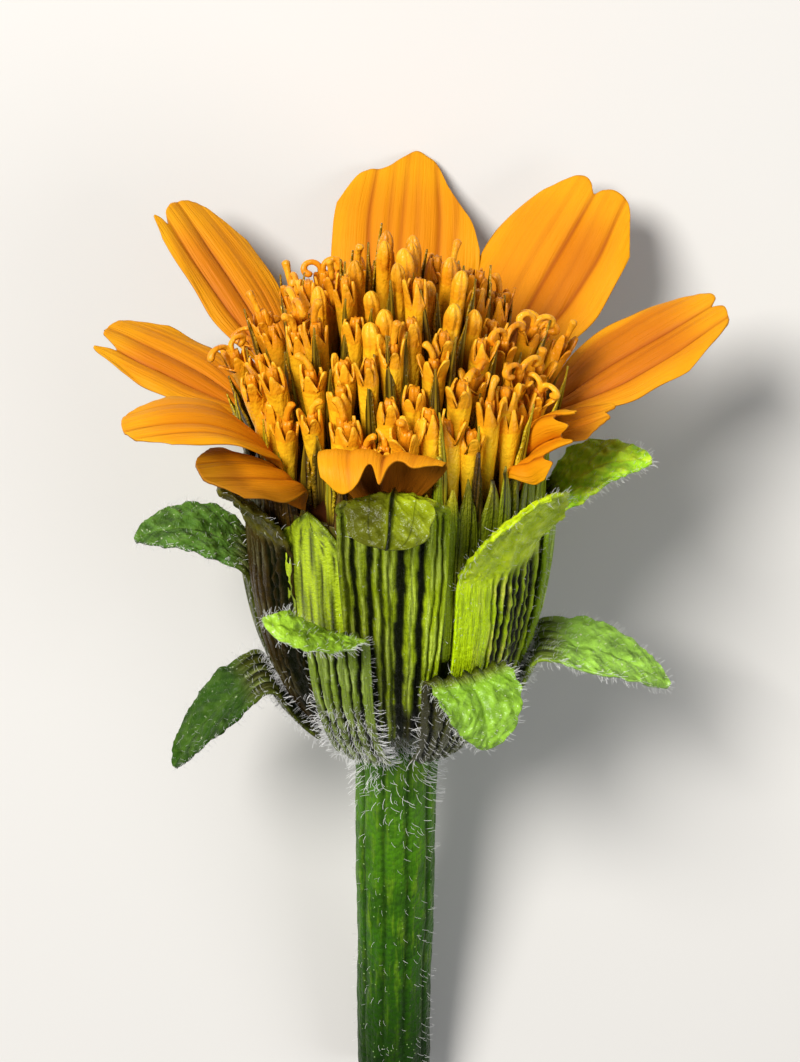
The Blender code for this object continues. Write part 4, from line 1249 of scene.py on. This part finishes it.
def sortAt(share, azimuth):
    s = discSettings
    for within, sorts in s["sorts"].items():
        if share < within:
            return sorts
    return s["sideSorts"] if share * abs(math.cos(azimuth + 0.35)) ** 1.5 > 0.55 else s["rimSorts"]


def discPlaces(chance):
    # florets in a sunflower spiral, each with a scale outside it: (place, turn, size, kind, radius)
    s, tallest = discSettings, floretSettings["tall"]
    florets, scales = [], []
    for k in range(s["count"]):
        radius = s["spacing"] * math.sqrt(k + 0.3) + chance.uniform(-0.1, 0.1)
        azimuth = k * math.radians(s["turn"]) + chance.uniform(-0.05, 0.05)
        share = radius / s["rimAt"]
        lean = leanAt(azimuth, share) + chance.uniform(-0.07, 0.07)
        tall = mix(s["long"], s["longAtRim"], share) * chance.uniform(0.84, 1.08) / tallest
        kind = chance.choice(s["kinds"][chance.choice(sortAt(share, azimuth))])
        wide = chance.uniform(0.92, 1.10)
        turn = standing(azimuth, lean, chance.uniform(0, 6.28))
        florets.append((around(radius, azimuth, discHeight(radius)), turn, (wide, wide, tall), kind, radius))
        if radius > s["bareFrom"] and math.sin(azimuth) < s["bareFront"]:
            continue
        out = radius + s["scaleOut"]
        beside = azimuth + chance.uniform(-0.5, 0.5) / max(out, 1)
        turn = standing(beside, lean * 0.9, chance.uniform(-0.5, 0.5))
        size = (1.25, 1, tall * chance.uniform(0.88, 1.10))
        place = around(out, beside, discHeight(min(out, s["footWithin"])))
        scales.append((place, turn, size, chance.choice((0, 1, 2)), radius))
    rank = s["frontRank"]  # a low rank with its tubes in full view, and brown scales where it is shaded
    shadedFrom, shadedTo = rank["shaded"]
    for degrees in range(*rank["degrees"]):
        azimuth = math.radians(degrees + chance.uniform(-2, 2))
        radius = rank["radius"] + chance.uniform(-0.2, 0.2)
        place = around(radius, azimuth, rank["foot"])
        turn = standing(azimuth, chance.uniform(-0.08, 0.08), chance.uniform(0, 6.28))
        # brown scales take a floret's place here as painted shade
        if shadedFrom < degrees < shadedTo:
            scales.append((place, turn, (1, 1.3, chance.uniform(0.6, 0.9)), 2, radius))
            continue
        kind = chance.choice(s["kinds"]["half"] + s["kinds"]["open"])
        wide = chance.uniform(0.98, 1.18)
        florets.append((place, turn, (wide, wide, chance.uniform(0.66, 1.0)), kind, radius))
    return florets, scales


def rimPlaces(chance):
    # the outermost scales, paler and uneven in height, stand against the margin florets
    s = discSettings["rimScales"]
    rows = []
    for k in range(s["count"]):
        azimuth = 2 * math.pi * (k + chance.uniform(-0.35, 0.35)) / s["count"]
        lean = leanAt(azimuth, 1.0) * 0.8 - 0.05 * max(-math.sin(azimuth), 0) + chance.uniform(-0.08, 0.08)
        turn = standing(azimuth, lean, chance.uniform(-0.5, 0.5))
        size = (1, chance.uniform(0.8, 1.1), chance.uniform(0.50, 1.05))
        rows.append((around(s["radius"], azimuth, s["foot"]), turn, size, chance.choice((3, 4)), s["radius"]))
    return rows


def setOut(name, rows, kinds, finish, *nodes):
    # one piece of the collection's kinds, placed by the rows
    places, turns, sizes, numbers = ([r[k] for r in rows] for k in range(4))
    marks = {"turn": np.array([tuple(t) for t in turns]), "size": np.array(sizes), "kind": np.array(numbers)}
    cloud = newPiece("places", np.array(places), [], marks)
    mesh = grown(name, cloud, placing, {"Kinds": kinds, "Finish": finish})
    bpy.data.objects.remove(cloud)
    pressed(mesh)
    keep(linked(name, mesh), "disc", *nodes)
    print(name, len(mesh.polygons), "faces")


def setAside(name, pieces):
    kept = bpy.data.collections.new(name)
    for piece in pieces:
        bpy.context.scene.collection.objects.unlink(piece)
        kept.objects.link(piece)
    return kept


floretGold = newFinish("floretGold", floretLooks)
scaleOlive = newFinish("scaleOlive", scaleLooks, scaleSettings["olive"])
scalePale = newFinish("scalePale", scaleLooks, scaleSettings["pale"])
floretKinds = setAside("floretKinds", [
    makeFloret("floret%02d" % number, sort, 100 + number, floretGold)
    for sort, numbers in discSettings["kinds"].items() for number in numbers])
forms = [(finish, form) for finish, sort in ((scaleOlive, "olive"), (scalePale, "pale"))
         for form in scaleSettings[sort]["forms"]]
scaleKinds = setAside("scaleKinds", [
    makeScale("scale%d" % k, finish, *form) for k, (finish, form) in enumerate(forms)])
placing = placingTree()
chance = random.Random(discSettings["seed"])
floretRows, scaleRows = discPlaces(chance)
for node, (start, end) in discSettings["nodes"].items():
    florets, scales = ([r for r in rows if start <= r[4] < end] for rows in (floretRows, scaleRows))
    setOut(node + "_florets", florets, floretKinds, floretGold, node)
    setOut(node + "_scales", scales, scaleKinds, scaleOlive, node)
setOut("rim_scales", rimPlaces(chance), scaleKinds, scalePale)
for kinds in (floretKinds, scaleKinds):
    for piece in list(kinds.objects):
        bpy.data.objects.remove(piece)
    bpy.data.collections.remove(kinds)


# floor of the disc, painted near black as the deep shade between the florets
discFloorSettings = {
    "around": 96, "rim": ((0.02, -2.6), (6.3, -2.6), (6.6, -2.2), (6.6, -1.2), (6.4, -0.85)),
    "dome": (6.0, 5.0, 4.0, 3.0, 2.0, 1.0, 0.02),
}


def discFloorLooks(g):
    colour = g.mixed(g.noise(900), (0.030, 0.006, 0.001), (0.08, 0.020, 0.002))
    return {"Base Color": colour, "Roughness": 0.7, "Specular IOR Level": 0.1}


def makeDiscFloor(finish):
    s = discFloorSettings
    profile = s["rim"] + tuple((radius, discHeight(radius)) for radius in s["dome"])
    turn = fullTurn(s["around"])
    points, faces = rings([circle(radius, turn, height) for radius, height in profile])
    return newPiece("disc_floor", points, faces, finish=finish)


keep(makeDiscFloor(newFinish("discBrown", discFloorLooks)), "disc")


# inner bracts: pointed scales in a ring between the cup and the petals, green in front and painted brown, as
# painted shade, where in shade, each with its azimuth, top, width and greenness; the one that is broad is
# blunt and ragged
innerSettings = {
    "radius": 7.0, "foot": -9.0, "broad": 3.0, "rows": 26, "columns": 24,
    "bracts": (
        (-134, 0.3, 1.4, 0.0), (-126, -0.9, 1.5, 0.1), (-123, -1.3, 3.8, 1.0), (-110, 0.9, 1.2, 0.0),
        (-103, 0.2, 1.5, 0.2), (-79, 0.5, 1.6, 0.9), (-74.5, 2.3, 0.6, 0.8), (-69, 0.5, 1.4, 0.8),
        (-63, 0.9, 1.1, 0.4), (-58.5, 2.1, 0.8, 0.0), (-52, 0.4, 1.5, 0.5), (-46, 0.9, 0.9, 0.6),
        (-40, 0.3, 1.5, 0.3), (-30, 0.8, 1.7, 0.6), (-18, 0.6, 2.0, 0.6),
        *((azimuth, 0.4, 2.4, 0.5) for azimuth in range(-4, 117, 20)),
        (136, 0.4, 2.4, 0.4), (156, 0.4, 2.4, 0.3), (174, 0.4, 2.2, 0.2), (-168, 0.5, 2.2, 0.1),
        (-152, 0.7, 2.0, 0.0), (-142, 0.6, 1.5, 0.0)),
}


def innerLooks(g):
    along, green, groove = g.marks("along", "green", "groove")
    stripes, beads = g.noise((9, 1.5, 1), on="UV"), g.noise(5200, 2.0, 0.6)
    # brown is painted shade, for the bracts in shade; bright is their green where lit
    brown = g.mixed(g.between(stripes, 0.4, 0.6), (0.12, 0.060, 0.006), (0.020, 0.008, 0.002))
    bright = g.mixed(g.between(stripes, 0.45, 0.65), (0.42, 0.56, 0.012), (0.19, 0.26, 0.006))
    tip = g.between(along, 0.80, 1.0) * g.between(green, 1.0, 0.92) * green * 0.8
    # the grooves are painted near black: painted shade in the creases
    colour = g.coated(
        brown, (green, bright), (tip, (0.60, 0.42, 0.012)), (groove * 0.95, (0.010, 0.008, 0.002)))
    return {"Base Color": colour, "Roughness": 0.26 + beads * 0.2,
            "Normal": g.relief(stripes + beads * 0.7, 0.00016)}


def makeInnerBracts(finish):
    s = innerSettings
    allPoints, allFaces, allMarks, uvs, start = [], [], [], [], 0
    column = np.linspace(-1, 1, s["columns"] + 1)[None, :]
    row = np.linspace(0, 1, s["rows"] + 1)[:, None]
    along = row + 0 * column
    for k, (degrees, top, wide, green) in enumerate(s["bracts"]):
        broad = wide > s["broad"]
        taper = np.clip((row - 0.62) / 0.38, 0, 1) ** (4 if broad else 1.8)
        half = wide / 2 * np.maximum(1 - taper, 0.03) + 0 * column
        groove = bump(np.cos(column * half * 2 * np.pi / 0.55 + k + 0.8 * np.sin(row * 5)), -1, 0.25)
        radius = s["radius"] + 0.09 * (k % 3) + 0.1 * smooth((row - 0.7) / 0.3) - 0.10 * groove
        radius = radius + 0.22 * (1 - np.abs(column)) * smooth((row - 0.55) / 0.3)
        turn = math.radians(degrees) + half * column / s["radius"]
        ragged = broad * 0.34 * smooth((row - 0.7) / 0.3) * np.sin(column * 9 + 0.6)
        height = s["foot"] + row * (top - s["foot"]) + ragged
        radius = np.minimum(radius, cupRadius(height) - 0.36) + broad * 0.14
        points, faces, *_ = sheet(circle(radius, turn, height)[:, ::-1], np.full(half.shape, 0.10))
        allPoints.append(points)
        allFaces += [[i + start for i in f] for f in faces]
        start += len(points)
        allMarks.append(bothFaces(along=along, green=green + 0 * along, groove=groove[:, ::-1]))
        uvs.append(sheetUv(column, along) + (k * 3, 0))
    marks = {key: np.concatenate([marks[key] for marks in allMarks]) for key in allMarks[0]}
    return newPiece("inner_bracts", np.concatenate(allPoints), allFaces, marks, np.concatenate(uvs), finish)


keep(makeInnerBracts(newFinish("innerOlive", innerLooks)), "cup")
print("disc made")


# studio: lights are (from the flower's middle, size, power, colour), in metres and watts
studioSettings = {
    "elevation": 30.0, "distance": 140.0, "pixel": 0.0474, "centre": (396.0, 430.0), "image": (800, 1062),
    "middle": (0, 0, -4.0), "floor": 1.2,
    "floorLooks": {"Base Color": (0.66, 0.65, 0.63, 1), "Roughness": 0.8, "Specular IOR Level": 0.2},
    "lights": {
        "key": ((-0.16, 0.16, 0.30), 0.16, 2.0, (1.0, 0.97, 0.93)),
        "fill": ((0.28, -0.10, 0.25), 0.25, 0.42, (1, 1, 1)),
    },
    "world": (0.93, 0.96, 1.0), "worldStrength": 0.22,
}


def makeCamera():
    s = studioSettings
    steep = math.radians(s["elevation"])
    toCamera = np.array([0, -math.cos(steep), math.sin(steep)])
    up = np.array([0, math.sin(steep), math.cos(steep)])
    side = np.array([1.0, 0, 0])
    wide, tall = s["image"]
    target = side * (wide / 2 - s["centre"][0]) * s["pixel"] + up * (s["centre"][1] - tall / 2) * s["pixel"]
    data = bpy.data.cameras.new("camera")
    data.sensor_width = 36
    data.lens = data.sensor_width / 2 * s["distance"] / (tall / 2 * s["pixel"])
    data.clip_start = mm
    camera = linked("camera", data)
    place = Matrix((np.stack([side, up, toCamera]) @ flowerAxes).tolist()).transposed().to_4x4()
    place.translation = Vector(toWorld(target + toCamera * s["distance"]))
    camera.matrix_world = place
    bpy.context.scene.camera = camera


def makeFloor():
    half = studioSettings["floor"] / 2
    corners = np.array([(x * half, y * half, 0) for x, y in ((-1, -1), (1, -1), (1, 1), (-1, 1))])
    finish = newFinish("floorPale", studioSettings["floorLooks"])
    newPiece("floor", corners, [(0, 1, 2, 3)], finish=finish, world=False)


def makeLights():
    s = studioSettings
    for name, (where, size, power, colour) in s["lights"].items():
        light = bpy.data.lights.new(name, "AREA")
        light.shape = "DISK"
        light.size = size
        light.energy = power
        light.color = colour
        lamp = linked(name, light)
        lamp.location = Vector(toWorld(s["middle"])) + Vector(where)
        lamp.rotation_euler = (-Vector(where)).to_track_quat("-Z", "Y").to_euler()
    world = bpy.data.worlds.new("studio")
    world.use_nodes = True
    back = world.node_tree.nodes["Background"]
    back.inputs["Color"].default_value = (*s["world"], 1)
    back.inputs["Strength"].default_value = s["worldStrength"]
    bpy.context.scene.world = world
    bpy.context.scene.view_settings.view_transform = "Standard"


makeCamera()
makeFloor()
makeLights()
print("studio made")
